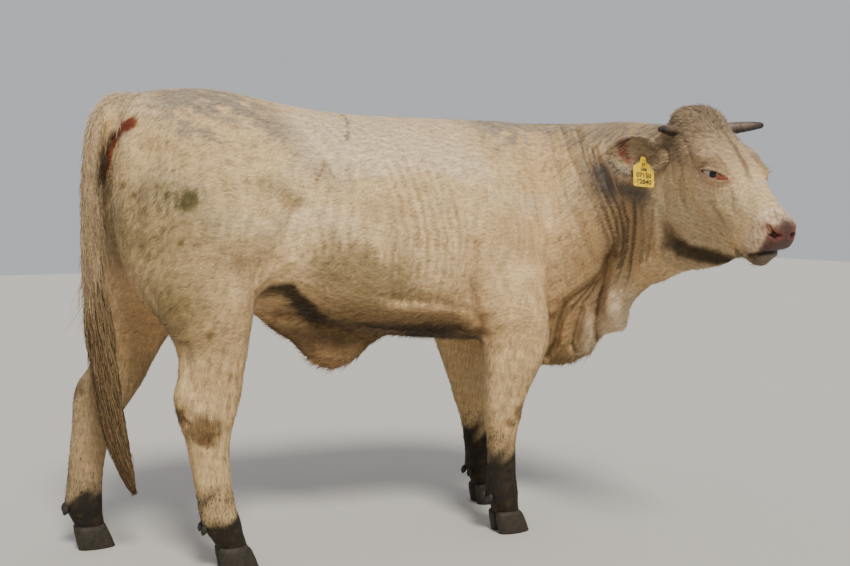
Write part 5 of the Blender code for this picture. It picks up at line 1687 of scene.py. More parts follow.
@dataclass(frozen=True)
class Lie:
    """The way the hair lies over the body."""

    swirl: float = 0.22

    def regions(self, points: Array) -> dict[Region, Array]:
        """Share each place among the regions of the body.

        Args:
            points: Places in the frame.

        Returns:
            A share from 0 to 1 for each region.
        """
        x, y, z = to_design(points).T
        local = HEAD.local(points)
        near = HEAD.near(local) & (local[:, 2] > -0.32)
        head = ramp(local[:, 0], -0.05, 0.03) * near
        dock = ramp(x, -0.630, -0.660) * (np.abs(y) < 0.075)
        legs = ramp(z, 0.62, 0.50) * (1 - head) * (1 - dock)
        between = (np.abs(y) < 0.085) & (x > -0.30) & (x < 0.30)
        legs = legs * np.where(between, 0, 1) * np.where(x > 0.56, 0, 1)
        neck = ramp(x, 0.54, 0.64) * (1 - head) * (1 - legs)
        trunk = np.clip(1 - head - dock - legs - neck, 0, 1)
        return {Region.HEAD: head, Region.DOCK: dock, Region.FORE_LEGS: legs * (x > 0),
                Region.HIND_LEGS: legs * (x <= 0), Region.NECK: neck, Region.TRUNK: trunk}

    def flow(self, points: Array, normals: Array) -> Array:
        """Give the direction of the hair along the skin.

        Args:
            points: Places in the frame.
            normals: Outward directions there.

        Returns:
            Unit vectors along the skin.
        """
        shares = self.regions(points)
        local = HEAD.local(points)
        x, y, z = to_design(points).T
        trunk = np.stack([np.full(len(x), -1.0), 0 * x, -0.28 - 0.55 * ramp(x, -0.35, -0.60)], 1)
        neck = np.stack([-0.75 + 0 * x, 0.45 * ramp(x, 0.60, 0.75), -0.30 - 0.55 * ramp(z, 0.90, 0.60)], 1)
        legs = np.stack([-0.12 + 0 * x, 0 * x, np.full(len(x), -1.0)], 1)
        dock = np.stack([0 * x, 0 * x, np.full(len(x), -1.0)], 1)
        forward, left, up = (np.array(v) for v in HEAD.axes)
        fan = np.stack([np.full(len(x), -0.9), 0.9 * np.tanh(local[:, 1] / 0.05),
                        -0.25 - 0.9 * ramp(np.abs(local[:, 1]), 0.03, 0.09)], 1)
        fan[:, 0] -= 0.5 * ramp(local[:, 0], 0.10, 0.0)
        fan[:, 2] += 0.5 * ramp(local[:, 0], 0.20, 0.30)
        head = fan[:, :1] * forward + fan[:, 1:2] * left + fan[:, 2:] * up
        out = np.zeros_like(points)
        for region, vector in ((Region.TRUNK, trunk), (Region.NECK, neck), (Region.FORE_LEGS, legs),
                               (Region.HIND_LEGS, legs), (Region.DOCK, dock), (Region.HEAD, head)):
            out += unit(vector) * shares[region][:, None]
        turn = self.swirl * (waves(points, 0.16, 41, 2) + 0.8 * waves(points, 0.045, 42, 2))
        out = unit(out - normals * np.sum(out * normals, axis=1, keepdims=True))
        return unit(out + np.cross(normals, out) * turn[:, None])

    def coordinates(self, points: Array) -> Array:
        """Give places squeezed along the hair, for streaks that run with it.

        Args:
            points: Places in the frame.

        Returns:
            Places whose spread along the hair is a ninth of that across it.
        """
        shares = self.regions(points)
        legs = shares[Region.FORE_LEGS] + shares[Region.HIND_LEGS] + shares[Region.DOCK]
        body = points * (0.12, 1.0, 1.0)
        limb = points * (1.0, 1.0, 0.12)
        local = HEAD.local(points) * (0.12, 1.0, 1.0)
        head = (shares[Region.HEAD] > 0.5)[:, None]
        return np.where(head, local, np.where((legs > 0.5)[:, None], limb, body))


LIE = Lie()
PATCH_WIDTH = 0.003


def bake_patches(mesh: bpy.types.Mesh, middles: Array, corners: int, faces: Array) -> None:
    """Give each tuft or lock a small round patch of its own on the map OFBake.

    Args:
        mesh: Mesh of the hair.
        middles: Middle of each patch on the map.
        corners: Vertices of each tuft or lock.
        faces: Triangles of the mesh.
    """
    angle = np.arange(corners) * 2 * math.pi / corners
    patch = np.stack([np.cos(angle), np.sin(angle)], 1) * PATCH_WIDTH / 2
    spread = (middles[:, None] + patch[None]).reshape(-1, 2)
    layer = mesh.uv_layers.new(name="OFBake")
    layer.data.foreach_set("uv", spread[faces.ravel()].astype(np.float32).ravel())


@dataclass(frozen=True)
class Tuft:
    """Tufts of one region: length and width in metres, lift in radians, number per square metre."""

    length: float
    width: float
    lift: float
    density: float


@dataclass
class Coat:
    """Tufts of short hair over the whole skin, laid along its lie."""

    marks: Markings
    skin: bpy.types.Object
    seed: int = 12
    tufts: dict[Region, Tuft] = field(default_factory=lambda: {
        Region.TRUNK: Tuft(0.017, 0.0023, 0.125, 46000),
        Region.NECK: Tuft(0.017, 0.0023, 0.125, 46000),
        Region.HEAD: Tuft(0.011, 0.0017, 0.16, 80000),
        Region.FORE_LEGS: Tuft(0.012, 0.0021, 0.15, 52000),
        Region.HIND_LEGS: Tuft(0.013, 0.0022, 0.15, 48000),
        Region.DOCK: Tuft(0.024, 0.0028, 0.14, 42000),
    })
    most: int = 190000

    def roots(self, chance: np.random.Generator) -> dict[Region, tuple[Array, Array]]:
        """Scatter roots over the skin by the density of each region.

        Args:
            chance: Source of the scatter.

        Returns:
            Places and normals by region.
        """
        mesh = self.skin.data
        points, normals = places(mesh), outward(mesh)
        corners = np.empty(len(mesh.polygons) * 3, dtype=np.int32)
        mesh.loops.foreach_get("vertex_index", corners)
        tri = corners.reshape(-1, 3)
        middle = points[tri].mean(axis=1)
        first, second, third = (points[tri[:, n]] for n in range(3))
        area = 0.5 * np.linalg.norm(np.cross(second - first, third - first), axis=1)
        eased = self.sparse(middle)
        found = {}
        for region, share in LIE.regions(middle).items():
            want = area * self.tufts[region].density * eased * share
            count = np.floor(want + chance.random(len(want))).astype(int)
            owner = np.repeat(np.arange(len(tri)), count)
            u, v = chance.random(len(owner)), chance.random(len(owner))
            flip = u + v > 1
            u[flip], v[flip] = 1 - u[flip], 1 - v[flip]
            a, b, c = (tri[owner, n] for n in range(3))
            w = 1 - u - v
            place = points[a] * w[:, None] + points[b] * u[:, None] + points[c] * v[:, None]
            lean = unit(normals[a] * w[:, None] + normals[b] * u[:, None] + normals[c] * v[:, None])
            found[region] = (place, lean)
        return found

    def sparse(self, points: Array) -> Array:
        """Say how much of the coat grows: none on the muzzle, in the eyes and under the claws.

        Args:
            points: Places to value.

        Returns:
            Shares from 0 to 1.
        """
        local = HEAD.local(points)
        x, y, z = to_design(points).T
        on_head = HEAD.near(local)
        share = np.where(on_head, ramp(local[:, 0] - 0.25 * np.abs(local[:, 1]), 0.392, 0.374), 1.0)
        share *= ramp(z, 0.052, 0.075)
        groin = ramp(np.abs(y), 0.12, 0.07) * ramp(z, 0.78, 0.70) * (x < -0.25) * (z > 0.56)
        share *= 1 - 0.75 * groin
        for side in Side:
            eye = Eye(side, self.marks)
            centre, along, up, out = eye.frame()
            rel = points - centre
            a, b, c = rel @ along, rel @ up, rel @ out
            share = np.where((c > 0) & (np.abs(a) < 0.045) & (np.abs(b) < 0.035) & (eye.share(a, b) < 1.25),
                             0, share)
        return share

    def strands(self, region: Region, place: Array, lean: Array,
                chance: np.random.Generator) -> tuple[Array, ...]:
        """Shape one tuft at each root.

        Args:
            region: Whose sizes are used.
            place: Roots.
            lean: Normals at the roots.
            chance: Source of the spread of sizes.

        Returns:
            Vertices, triangles, colours and shading normals, which follow those of the skin.
        """
        kind = self.tufts[region]
        count = len(place)
        flow = LIE.flow(place, lean)
        turn = chance.normal(0, 0.13, count)[:, None]
        flow = unit(flow + np.cross(lean, flow) * turn)
        across = np.cross(lean, flow)
        size = self.sizes(region, place)
        length = (kind.length * size * chance.uniform(0.65, 1.25, count))[:, None]
        width = (kind.width * np.sqrt(size) * chance.uniform(0.75, 1.25, count))[:, None]
        curl = waves(place, 0.020, 46, 2)[:, None]
        lift = (kind.lift * chance.uniform(0.4, 1.6, count))[:, None] * (1 + 0.8 * curl)
        root = place - lean * 0.0004
        tip = root + (flow * np.cos(lift) + lean * np.sin(lift)) * length
        shades = chance.normal(1.0, 0.085, count).clip(0.70, 1.30)[:, None]
        hue = self.marks.colour(place, lean, True) * shades
        rows = [root + across * width * 0.5, root - across * width * 0.5, root + lean * width * 0.30, tip]
        lean = lean + flow * 0.42 * curl + across * 0.36 * waves(place, 0.014, 47, 2)[:, None]
        bends = [lean + across * 0.45, lean - across * 0.45, lean, lean + flow * 0.10]
        tris = [(0, 1, 2), (0, 3, 1), (1, 3, 2), (2, 3, 0)]
        shade = np.array([0.80, 0.80, 0.94, 1.10])
        corners = len(rows)
        verts = np.stack(rows, 1).reshape(-1, 3)
        normals = unit(np.stack(bends, 1).reshape(-1, 3))
        faces = (np.arange(count) * corners)[:, None, None] + np.array(tris)[None]
        colours = (hue[:, None] * shade[None, :, None]).reshape(-1, 3)
        return verts, faces.reshape(-1, 3), colours, normals

    def sizes(self, region: Region, place: Array) -> Array:
        """Say how long the tufts are at each place, over the region's own length.

        Args:
            region: Part of the body.
            place: Roots of the tufts.

        Returns:
            Factors of the length.
        """
        x, y, z = to_design(place).T
        local = HEAD.local(place)
        size = np.ones(len(place))
        if region is Region.HEAD:
            size += 0.7 * ramp(local[:, 0], 0.12, 0.02) * ramp(local[:, 2], -0.13, -0.08)
            size -= 0.30 * ramp(local[:, 0], 0.20, 0.32)
            near = np.linalg.norm((local - (HEAD.eye[0], 0, HEAD.eye[2])) * (1, 0, 1), axis=1)
            size *= 0.55 + 0.45 * ramp(near, 0.025, 0.055)
        if region in (Region.FORE_LEGS, Region.HIND_LEGS):
            size *= 0.65 + 0.5 * ramp(z, 0.20, 0.50)
        if region in (Region.TRUNK, Region.NECK):
            size *= 0.85 + 0.25 * ramp(z, 0.75, 0.58)
        return size

    def bake_map(self, mesh: bpy.types.Mesh, place: Array, lean: Array, corners: int, faces: Array) -> None:
        """Give each tuft a small patch at its root's place on charts of the skin.

        Args:
            mesh: Mesh of the tufts.
            place: Roots.
            lean: Normals at the roots.
            corners: Vertices of each tuft.
            faces: Triangles of all tufts.
        """
        axis = np.argmax(np.abs(lean), axis=1)
        chart = axis * 2 + (lean[np.arange(len(lean)), axis] > 0)
        flat = np.array([[1, 2], [0, 2], [0, 1]])[axis]
        rows = np.arange(len(place))
        uv = np.stack([place[rows, flat[:, 0]], place[rows, flat[:, 1]]], 1)
        low, high = place.min(axis=0), place.max(axis=0)
        reach = max((high - low).max(), 0.01)
        uv = (uv - np.stack([low[flat[:, 0]], low[flat[:, 1]]], 1)) / reach
        cell = np.stack([chart % 3, chart // 3], 1)
        uv = (cell + 0.03 + uv * 0.94) / 3
        bake_patches(mesh, uv, corners, faces)

    def build(self) -> None:
        """Lay the coat by region, in pieces of at most about self.most triangles each."""
        chance = np.random.default_rng(self.seed)
        material = HairFinish("short_cattle_hair").make()
        for region, (place, lean) in self.roots(chance).items():
            order = np.argsort(place[:, 0] + place[:, 1] * 1e-3, kind="stable")
            if region in (Region.TRUNK, Region.NECK):
                order = np.argsort(np.where(place[:, 1] < SHIFT.y, -10, 10) + place[:, 0], kind="stable")
            pieces = max(1, math.ceil(len(place) * 4 / self.most))
            for n, chosen in enumerate(np.array_split(order, pieces)):
                verts, faces, colours, normals = self.strands(region, place[chosen], lean[chosen], chance)
                obj = mesh_object(f"coat_{region.value}_{n + 1}", verts, faces, colours)
                keep_vectors(obj.data, "custom_normal", normals)
                self.bake_map(obj.data, place[chosen], lean[chosen], len(verts) // len(chosen), faces)
                install(obj, material, "coat")


@dataclass
class LockSet:
    """Longer hair that hangs or curls: thin tapered locks on given roots."""

    name: str
    steps: int = 6
    corners: int = 3

    def build(self, roots: Array, starts: Array, ends: Array, lengths: Array, widths: Array, hues: Array,
              curl: float, chance: np.random.Generator, material: bpy.types.Material, slot: str) -> None:
        """Grow one lock from each root.

        Args:
            roots: Where the locks start.
            starts: Direction of each lock at its root.
            ends: Direction of each lock at its tip.
            lengths: Length of each lock.
            widths: Width of each lock at its root.
            hues: Linear colour of each lock.
            curl: How far a lock waves, over its length.
            chance: Source of the phases of the waves.
            material: Finish of the locks.
            slot: Name of a material slot, passed on to install.
        """
        count = len(roots)
        s = np.linspace(0, 1, self.steps)
        mix = s[None, :, None]
        course = unit(starts[:, None] * (1 - mix) + ends[:, None] * mix)
        step = lengths[:, None, None] / (self.steps - 1)
        line = roots[:, None] + np.cumsum(course * step, axis=1) - course[:, :1] * step
        side = unit(np.cross(starts, chance.normal(size=(count, 3))))
        lift = unit(np.cross(starts, side))
        phase = chance.uniform(0, 6.28, count)[:, None]
        turns = chance.uniform(4.5, 8.0, count)[:, None]
        wave = curl * lengths[:, None] * np.sin(phase + s[None] * turns) * s[None]
        sway = curl * 0.7 * lengths[:, None] * np.cos(phase + s[None] * turns) * s[None]
        line = line + wave[..., None] * side[:, None] + sway[..., None] * lift[:, None]
        taper = np.maximum(1 - s ** 1.8, 0.06)
        angle = np.arange(self.corners) * 2 * math.pi / self.corners
        ring = (side[:, None, None] * np.cos(angle)[None, None, :, None]
                + lift[:, None, None] * np.sin(angle)[None, None, :, None] * 0.55)
        body = line[:, :, None] + ring * (widths[:, None] * taper[None])[..., None, None] / 2
        per = self.steps * self.corners
        tris = []
        for r in range(self.steps - 1):
            for k in range(self.corners):
                a, b = r * self.corners + k, r * self.corners + (k + 1) % self.corners
                tris += [(a, b, b + self.corners), (a, b + self.corners, a + self.corners)]
        last = per - self.corners
        for k in range(1, self.corners - 1):
            tris += [(0, k + 1, k), (last, last + k, last + k + 1)]
        faces = ((np.arange(count) * per)[:, None, None] + np.array(tris)[None]).reshape(-1, 3)
        shade = (0.72 + 0.42 * s)[None, :, None, None]
        colours = np.broadcast_to(hues[:, None, None] * shade,
                                  (count, self.steps, self.corners, 3)).reshape(-1, 3)
        obj = mesh_object(self.name, body.reshape(-1, 3), faces, colours)
        low, high = roots.min(axis=0), roots.max(axis=0)
        span = (roots - low) / max((high - low).max(), 0.01)
        flat = np.stack([(span[:, 0] + span[:, 1]) * 0.48 + 0.01, span[:, 2] * 0.96 + 0.01], 1)
        bake_patches(obj.data, flat, per, faces)
        install(obj, material, slot)


@dataclass
class Switch:
    """The tail's switch of long wavy hair round a slim core."""

    path: Path = (
        (-0.684, 0.000, 0.745, 0.024, 0.021), (-0.676, 0.000, 0.640, 0.032, 0.024),
        (-0.665, 0.000, 0.530, 0.042, 0.032), (-0.655, 0.000, 0.440, 0.046, 0.036),
        (-0.642, 0.000, 0.340, 0.038, 0.030), (-0.622, 0.000, 0.250, 0.024, 0.018),
        (-0.590, 0.000, 0.175, 0.005, 0.004))
    locks: int = 2400
    colour: str = "#745A3B"
    light: str = "#9C845E"
    dark: str = "#453321"

    def at(self, share: Array) -> Array:
        """Return the stations at shares of the path.

        Args:
            share: How far along each place lies, from 0 to 1.

        Returns:
            Place and half widths at each share.
        """
        rows = np.array(self.path)
        place = np.clip(share, 0, 1) * (len(rows) - 1)
        k = np.minimum(place.astype(int), len(rows) - 2)
        t = (place - k)[:, None]
        return rows[k] * (1 - t) + rows[k + 1] * t

    def build(self, chance: np.random.Generator) -> None:
        """Grow the locks in the space of the node that they stand for.

        Args:
            chance: Source of the random spread.
        """
        s = np.linspace(0, 0.80, 18)
        rows = self.at(s)
        core = np.array(SHIFT) + rows[:, :3]
        verts, faces = tube(core, rows[:, 3] * np.where(s < 0.08, 0.95, 0.55), np.array((1.0, 0, 0)), 16, 0.8)
        hue = np.tile(tint("#58442D"), (len(verts), 1))
        body = mesh_object("switch_core", verts, faces, hue)
        material = HairFinish("long_tail_hair", roughness=0.5, sheen=0.05, spread=0.3).make()
        install(body, material, "tail_switch", "tail_switch")
        start = np.clip(chance.uniform(-0.02, 0.80, self.locks), 0.0, 0.80)
        angle = chance.uniform(0, 2 * math.pi, self.locks)
        row = self.at(start)
        lie = np.stack([np.sin(angle), np.cos(angle), 0 * angle], 1)
        wide = np.where(start < 0.08, 0.85, 0.50)
        roots = np.array(SHIFT) + row[:, :3] + lie * row[:, [4, 3, 3]] * wide[:, None]
        reach = chance.uniform(0.22, 0.40, self.locks)
        stop = start + reach
        aim = self.at(np.minimum(stop, 1.0))
        full = chance.uniform(0.45, 1.0, self.locks)[:, None]
        goal = np.array(SHIFT) + aim[:, :3] + lie * aim[:, [4, 3, 3]] * full
        goal[:, 2] -= np.maximum(stop - 1, 0) * 0.05
        goal[:, 2] = np.maximum(goal[:, 2], 0.175)
        way = goal - roots
        lengths = np.linalg.norm(way, axis=1)
        starts = unit(unit(way) + lie * 0.30)
        ends = unit(unit(way) - lie * 0.28)
        pick = chance.random(self.locks)
        # Locks are paler near the root, and on the side facing the key light as painted light.
        pale_and_lit = 0.50 - 0.9 * start + 0.25 * np.cos(angle - 2.6)
        hues = np.where((pick < pale_and_lit)[:, None], tint(self.light), tint(self.colour))
        hues = np.where((pick > 0.92 - 0.10 * start)[:, None], tint(self.dark), hues)
        hues = hues * chance.uniform(0.8, 1.2, self.locks)[:, None]
        widths = chance.uniform(0.0017, 0.0036, self.locks)
        LockSet("switch_locks", steps=7).build(roots, starts, ends, lengths, widths, hues, 0.050, chance,
                                               material, "tail_switch")


@dataclass
class Ear:
    """An ear: a cupped leaf of skin, haired outside, bare and veined inside with a long fringe."""

    side: Side
    marks: Markings
    length: float = 0.168
    rim: float = 0.003
    root: tuple[float, float, float] = (0.035, 0.092, -0.098)
    steps: int = 6
    arc_points: int = 22
    stations: Path = (
        (-0.200, 0.018, 0.018, -0.018), (0.000, 0.021, 0.021, -0.014), (0.100, 0.028, 0.025, 0.000),
        (0.220, 0.039, 0.030, 0.021), (0.400, 0.049, 0.032, 0.027), (0.580, 0.051, 0.029, 0.024),
        (0.760, 0.043, 0.022, 0.017), (0.900, 0.027, 0.013, 0.009), (1.000, 0.006, 0.004, 0.001))

    def directions(self) -> tuple[Array, Array, Array]:
        """Return the ear's lie, the way its cup faces, and the direction down across it.

        Returns:
            The three directions.
        """
        lie, face = {Side.RIGHT: ((-0.22, 0.97, 0.02), (0.82, 0.26, 0.34)),
                     Side.LEFT: ((-0.72, 0.68, 0.02), (0.52, 0.62, 0.34))}[self.side]
        along = HEAD.direction(lie, self.side)
        facing = HEAD.direction(face, self.side)
        facing = (facing - along * facing.dot(along)).normalized()
        return np.array(along), np.array(facing), np.array(along.cross(facing) * self.side.value)

    def grid(self) -> tuple[Array, Array, Array]:
        """Return the middle line, and the outer and the inner face as grids of places.

        Returns:
            The three arrays.
        """
        along, facing, across = self.directions()
        root = np.array(HEAD.place(self.root[0], self.root[1] * self.side.value, self.root[2]))
        rows = np.array(self.stations)
        place = np.linspace(0, len(rows) - 1, (len(rows) - 1) * self.steps + 1)
        smooth = np.stack([np.interp(place, np.arange(len(rows)), rows[:, k]) for k in range(4)], 1)
        for _ in range(4):
            smooth[1:-1] = (smooth[:-2] + 2 * smooth[1:-1] + smooth[2:]) / 4
        arc = math.pi * (np.linspace(0, 1, self.arc_points) - 0.5)
        share, width, back, hollow = (smooth[:, k:k + 1] for k in range(4))
        middle = root + along * self.length * share
        ripple = 0.0022 * np.sin(arc * 5)[None, :] * ramp(share, 0.10, 0.35)
        spread = middle[:, None] + across * (width * np.sin(arc))[..., None]
        outer = spread - facing * (back * np.cos(arc) + self.rim / 2)[..., None]
        inner = spread - facing * (hollow * np.cos(arc) - self.rim / 2 + ripple * np.cos(arc))[..., None]
        return smooth, outer, inner

    def build(self, hair: bpy.types.Material, chance: np.random.Generator) -> None:
        """Make the leaf, its short coat and its fringe.

        Args:
            hair: Finish of the hair.
            chance: Source of the random spread.
        """
        stations, outer, inner = self.grid()
        along, facing, across = self.directions()
        ring = np.concatenate([outer, inner[:, ::-1]], axis=1)
        rows, count = ring.shape[:2]
        verts = np.vstack([ring.reshape(-1, 3), ring[0].mean(axis=0)[None], ring[-1].mean(axis=0)[None]])
        faces = ring_faces(rows, count)
        mid = verts.mean(axis=0)
        volume = np.sum(np.cross(verts[faces[:, 0]] - mid, verts[faces[:, 1]] - mid)
                        * (verts[faces[:, 2]] - mid))
        if volume < 0:
            faces = faces[:, ::-1]
        ring_inner = np.repeat([0.0, 1.0], self.arc_points)
        is_inner = np.concatenate([np.tile(ring_inner, rows), [0, 0]])
        share = np.concatenate([np.repeat(stations[:, 0], count), [0, 1]])
        drop = (verts - verts.mean(axis=0)) @ across
        bare = self.crescent(share, drop)
        noise = waves(verts, 0.03, 51)
        colours = np.tile(tint("#A58C6C"), (len(verts), 1)) * (1 + 0.10 * noise)[:, None]
        colours += (tint("#C2A67C") - colours) * (is_inner * 0.8)[:, None]
        colours += (tint("#96503C") - colours) * (is_inner * 0.95 * bare)[:, None]
        colours += (tint("#54200F") - colours) * (is_inner * 0.60 * bare * ramp(drop, 0.0, -0.025))[:, None]
        leaf = mesh_object(f"ear_leaf_{self.side.word}", verts, faces, colours)
        keep_value(leaf.data, "bare", is_inner * 0.8)
        keep_vectors(leaf.data, "lie", np.stack([verts @ along * 0.15, verts @ across, verts @ facing], 1))
        install(leaf, bpy.data.materials["short_haired_hide"], "coat", f"ear_{self.side.word}")
        self.coat(outer, hair, chance)
        self.lining(stations, inner, verts.mean(axis=0), hair, chance)
        self.fringe(stations, inner, hair, chance)

    def crescent(self, share: Array, drop: Array) -> Array:
        """Say where the inside is bare: a bow near the tip, wider above.

        Args:
            share: How far along each place lies, from 0 to 1.
            drop: How far down across the ear each place lies.

        Returns:
            0 where it is haired, 1 where it is bare.
        """
        flat = np.stack([share * self.length, drop], 1)
        path = ((0.128, -0.036), (0.130, -0.018), (0.116, 0.004), (0.094, 0.022))
        return ramp(path_distance(flat, path) + 0.20 * (drop + 0.01), 0.022, 0.010)

    def lining(self, stations: Array, inner: Array, middle: Array, hair: bpy.types.Material,
               chance: np.random.Generator) -> None:
        """Lay hair over the inside of the cup, sweeping in bows from its root to its tip.

        Args:
            stations: Sizes of the ear along its length.
            inner: Grid of the inner face.
            middle: Middle of the ear.
            hair: Finish of the hair.
            chance: Source of the random spread.
        """
        along, facing, across = self.directions()
        rows, cols = inner.shape[:2]
        count = 2300
        r = (chance.uniform(0.10, 0.97, count) * (rows - 1)).astype(int)
        c = chance.integers(1, cols - 1, count)
        roots = inner[r, c] + chance.normal(0, 0.0016, (count, 3))
        share, drop = stations[r, 0], (roots - middle) @ across
        keep = chance.random(count) > 0.96 * self.crescent(share, drop)
        roots, share, drop = roots[keep], share[keep], drop[keep]
        count = len(roots)
        swing = chance.normal(0, 0.10, (count, 3))
        starts = unit(along + facing * 0.22 - across * 0.55 + swing)
        ends = unit(along * 0.9 + across * 0.45 + facing * 0.02 + swing)
        pale = ramp(drop, 0.010, 0.035)[:, None]
        hues = tint("#E2C69C") * (1 - pale) + tint("#DCCDB4") * pale
        hues = hues * (1 + 0.25 * waves(roots, 0.012, 53))[:, None] * chance.uniform(0.7, 1.2, count)[:, None]
        LockSet(f"ear_lining_{self.side.word}", steps=4).build(
            roots, starts, ends, chance.uniform(0.014, 0.028, count), chance.uniform(0.0011, 0.0018, count),
            hues, 0.03, chance, hair, "coat")

    def coat(self, outer: Array, hair: bpy.types.Material, chance: np.random.Generator) -> None:
        """Lay short hair over the back of the ear, towards its tip.

        Args:
            outer: Grid of the outer face.
            hair: Finish of the hair.
            chance: Source of the random spread.
        """
        along, facing, across = self.directions()
        rows, cols = outer.shape[:2]
        count = 3600
        r = chance.uniform(0.12, 0.98, count) * (rows - 1)
        c = chance.uniform(0, 1, count) * (cols - 1)
        i, j = r.astype(int), c.astype(int)
        i, j = np.minimum(i, rows - 2), np.minimum(j, cols - 2)
        fr, fc = (r - i)[:, None], (c - j)[:, None]
        roots = (outer[i, j] * (1 - fr) * (1 - fc) + outer[i + 1, j] * fr * (1 - fc)
                 + outer[i, j + 1] * (1 - fr) * fc + outer[i + 1, j + 1] * fr * fc)
        arc = math.pi * (c / (cols - 1) - 0.5)
        normal = unit(across * np.sin(arc)[:, None] - facing * np.cos(arc)[:, None])
        starts = unit(along + normal * 0.40 + chance.normal(0, 0.15, (count, 3)))
        ends = unit(along + normal * 0.05 + chance.normal(0, 0.15, (count, 3)))
        noise = waves(roots, 0.03, 52)[:, None]
        hues = tint("#BBA079") * (1 + 0.18 * noise) * chance.uniform(0.8, 1.15, count)[:, None]
        LockSet(f"ear_coat_{self.side.word}", steps=3).build(
            roots, starts, ends, chance.uniform(0.008, 0.014, count), chance.uniform(0.0014, 0.0022, count),
            hues, 0.02, chance, hair, "coat")

    def fringe(self, stations: Array, inner: Array, hair: bpy.types.Material,
               chance: np.random.Generator) -> None:
        """Hang long pale hair from the rims and from the inside of the cup.

        Args:
            stations: Sizes of the ear along its length.
            inner: Grid of the inner face.
            hair: Finish of the hair.
            chance: Source of the random spread.
        """
        along, facing, across = self.directions()
        rows, cols = inner.shape[:2]
        count = 800
        r = (chance.uniform(0.20, 0.97, count) * (rows - 1)).astype(int)
        low = chance.random(count) < 0.62
        within = chance.random(count) < 0.40
        c = np.where(low, cols - 1 - chance.integers(0, 3, count), chance.integers(0, 3, count))
        c = np.where(within, chance.integers(2, cols - 2, count), c)
        roots = inner[r, c]
        share = stations[r, 0]
        down = np.where(low, 1.0, -0.55)[:, None] * across
        starts = unit(along * 0.75 + down * 0.35 + facing * np.where(within, 0.55, 0.10)[:, None]
                      + chance.normal(0, 0.15, (count, 3)))
        ends = unit(along * 0.55 + across * 0.65 + chance.normal(0, 0.12, (count, 3)))
        lengths = chance.uniform(0.016, 0.038, count) * np.where(low, 1.0, 0.55)
        lengths *= 1 - 0.35 * ramp(share, 0.6, 1.0)
        hues = np.where((chance.random(count) < 0.60)[:, None], tint("#B9A589"), tint("#80705C"))
        LockSet(f"ear_fringe_{self.side.word}", steps=5).build(
            roots, starts, ends, lengths, chance.uniform(0.0010, 0.0018, count),
            hues * chance.uniform(0.8, 1.1, count)[:, None], 0.05, chance, hair, "coat")


@dataclass
class Horn:
    """A short young horn: ringed at its base, dark and smooth at its tip."""

    side: Side
    path: Path = (
        (0.010, 0.060, -0.030, 0.0185), (0.018, 0.092, -0.019, 0.0175), (0.028, 0.125, -0.009, 0.0155),
        (0.039, 0.158, 0.002, 0.0122), (0.047, 0.188, 0.009, 0.0070))

    def build(self, material: bpy.types.Material) -> None:
        """Make the horn in place of its node.

        Args:
            material: Finish of the horn.
        """
        rows = np.array(self.path)
        place = np.linspace(0, len(rows) - 1, 41)
        smooth = np.stack([np.interp(place, np.arange(len(rows)), rows[:, k]) for k in range(4)], 1)
        for _ in range(8):
            smooth[1:-1] = (smooth[:-2] + 2 * smooth[1:-1] + smooth[2:]) / 4
        if self.side is Side.RIGHT:
            smooth[:, :3] = smooth[0, :3] + (smooth[:, :3] - smooth[0, :3]) * 0.82
            smooth[:, 3] *= 0.88
        line = np.array([HEAD.place(x, y * self.side.value, z) for x, y, z, _ in smooth])
        t = np.linspace(0, 1, len(line))
        rings = 1 + 0.030 * np.sin(t * 58) * ramp(t, 0.75, 0.45)
        blunt = np.sqrt(np.maximum(1 - np.clip((t - 0.93) / 0.07, 0, 1) ** 2, 0.02))
        verts, faces = tube(line, smooth[:, 3] * rings * blunt * 0.985, np.array(HEAD.axes[2]), 28)
        growth = np.concatenate([np.repeat(t, 28), [0, 1]])
        noise = waves(verts, 0.02, 61)
        dark = ramp(growth, 0.60, 0.95)[:, None]
        colours = tint("#6B5647") * (1 - dark) + tint("#2B221C") * dark
        # Darker on the horn's underside: painted shade.
        middle = np.concatenate([np.repeat(line[:, 2], 28), line[[0, -1], 2]])
        under = ramp(verts[:, 2] - middle, 0.002, -0.010)[:, None]
        colours += (tint("#1C1512") - colours) * under * 0.85
        colours = colours * (1 + 0.20 * noise)[:, None]
        colours += (tint("#93806A") - colours) * (ramp(growth, 0.42, 0.22) * 0.5)[:, None]
        horn = mesh_object(f"horn_sheath_{self.side.word}", verts, faces, colours)
        keep_value(horn.data, "growth", growth * 0.14)
        install(horn, material, "horn", f"horn_{self.side.word}")


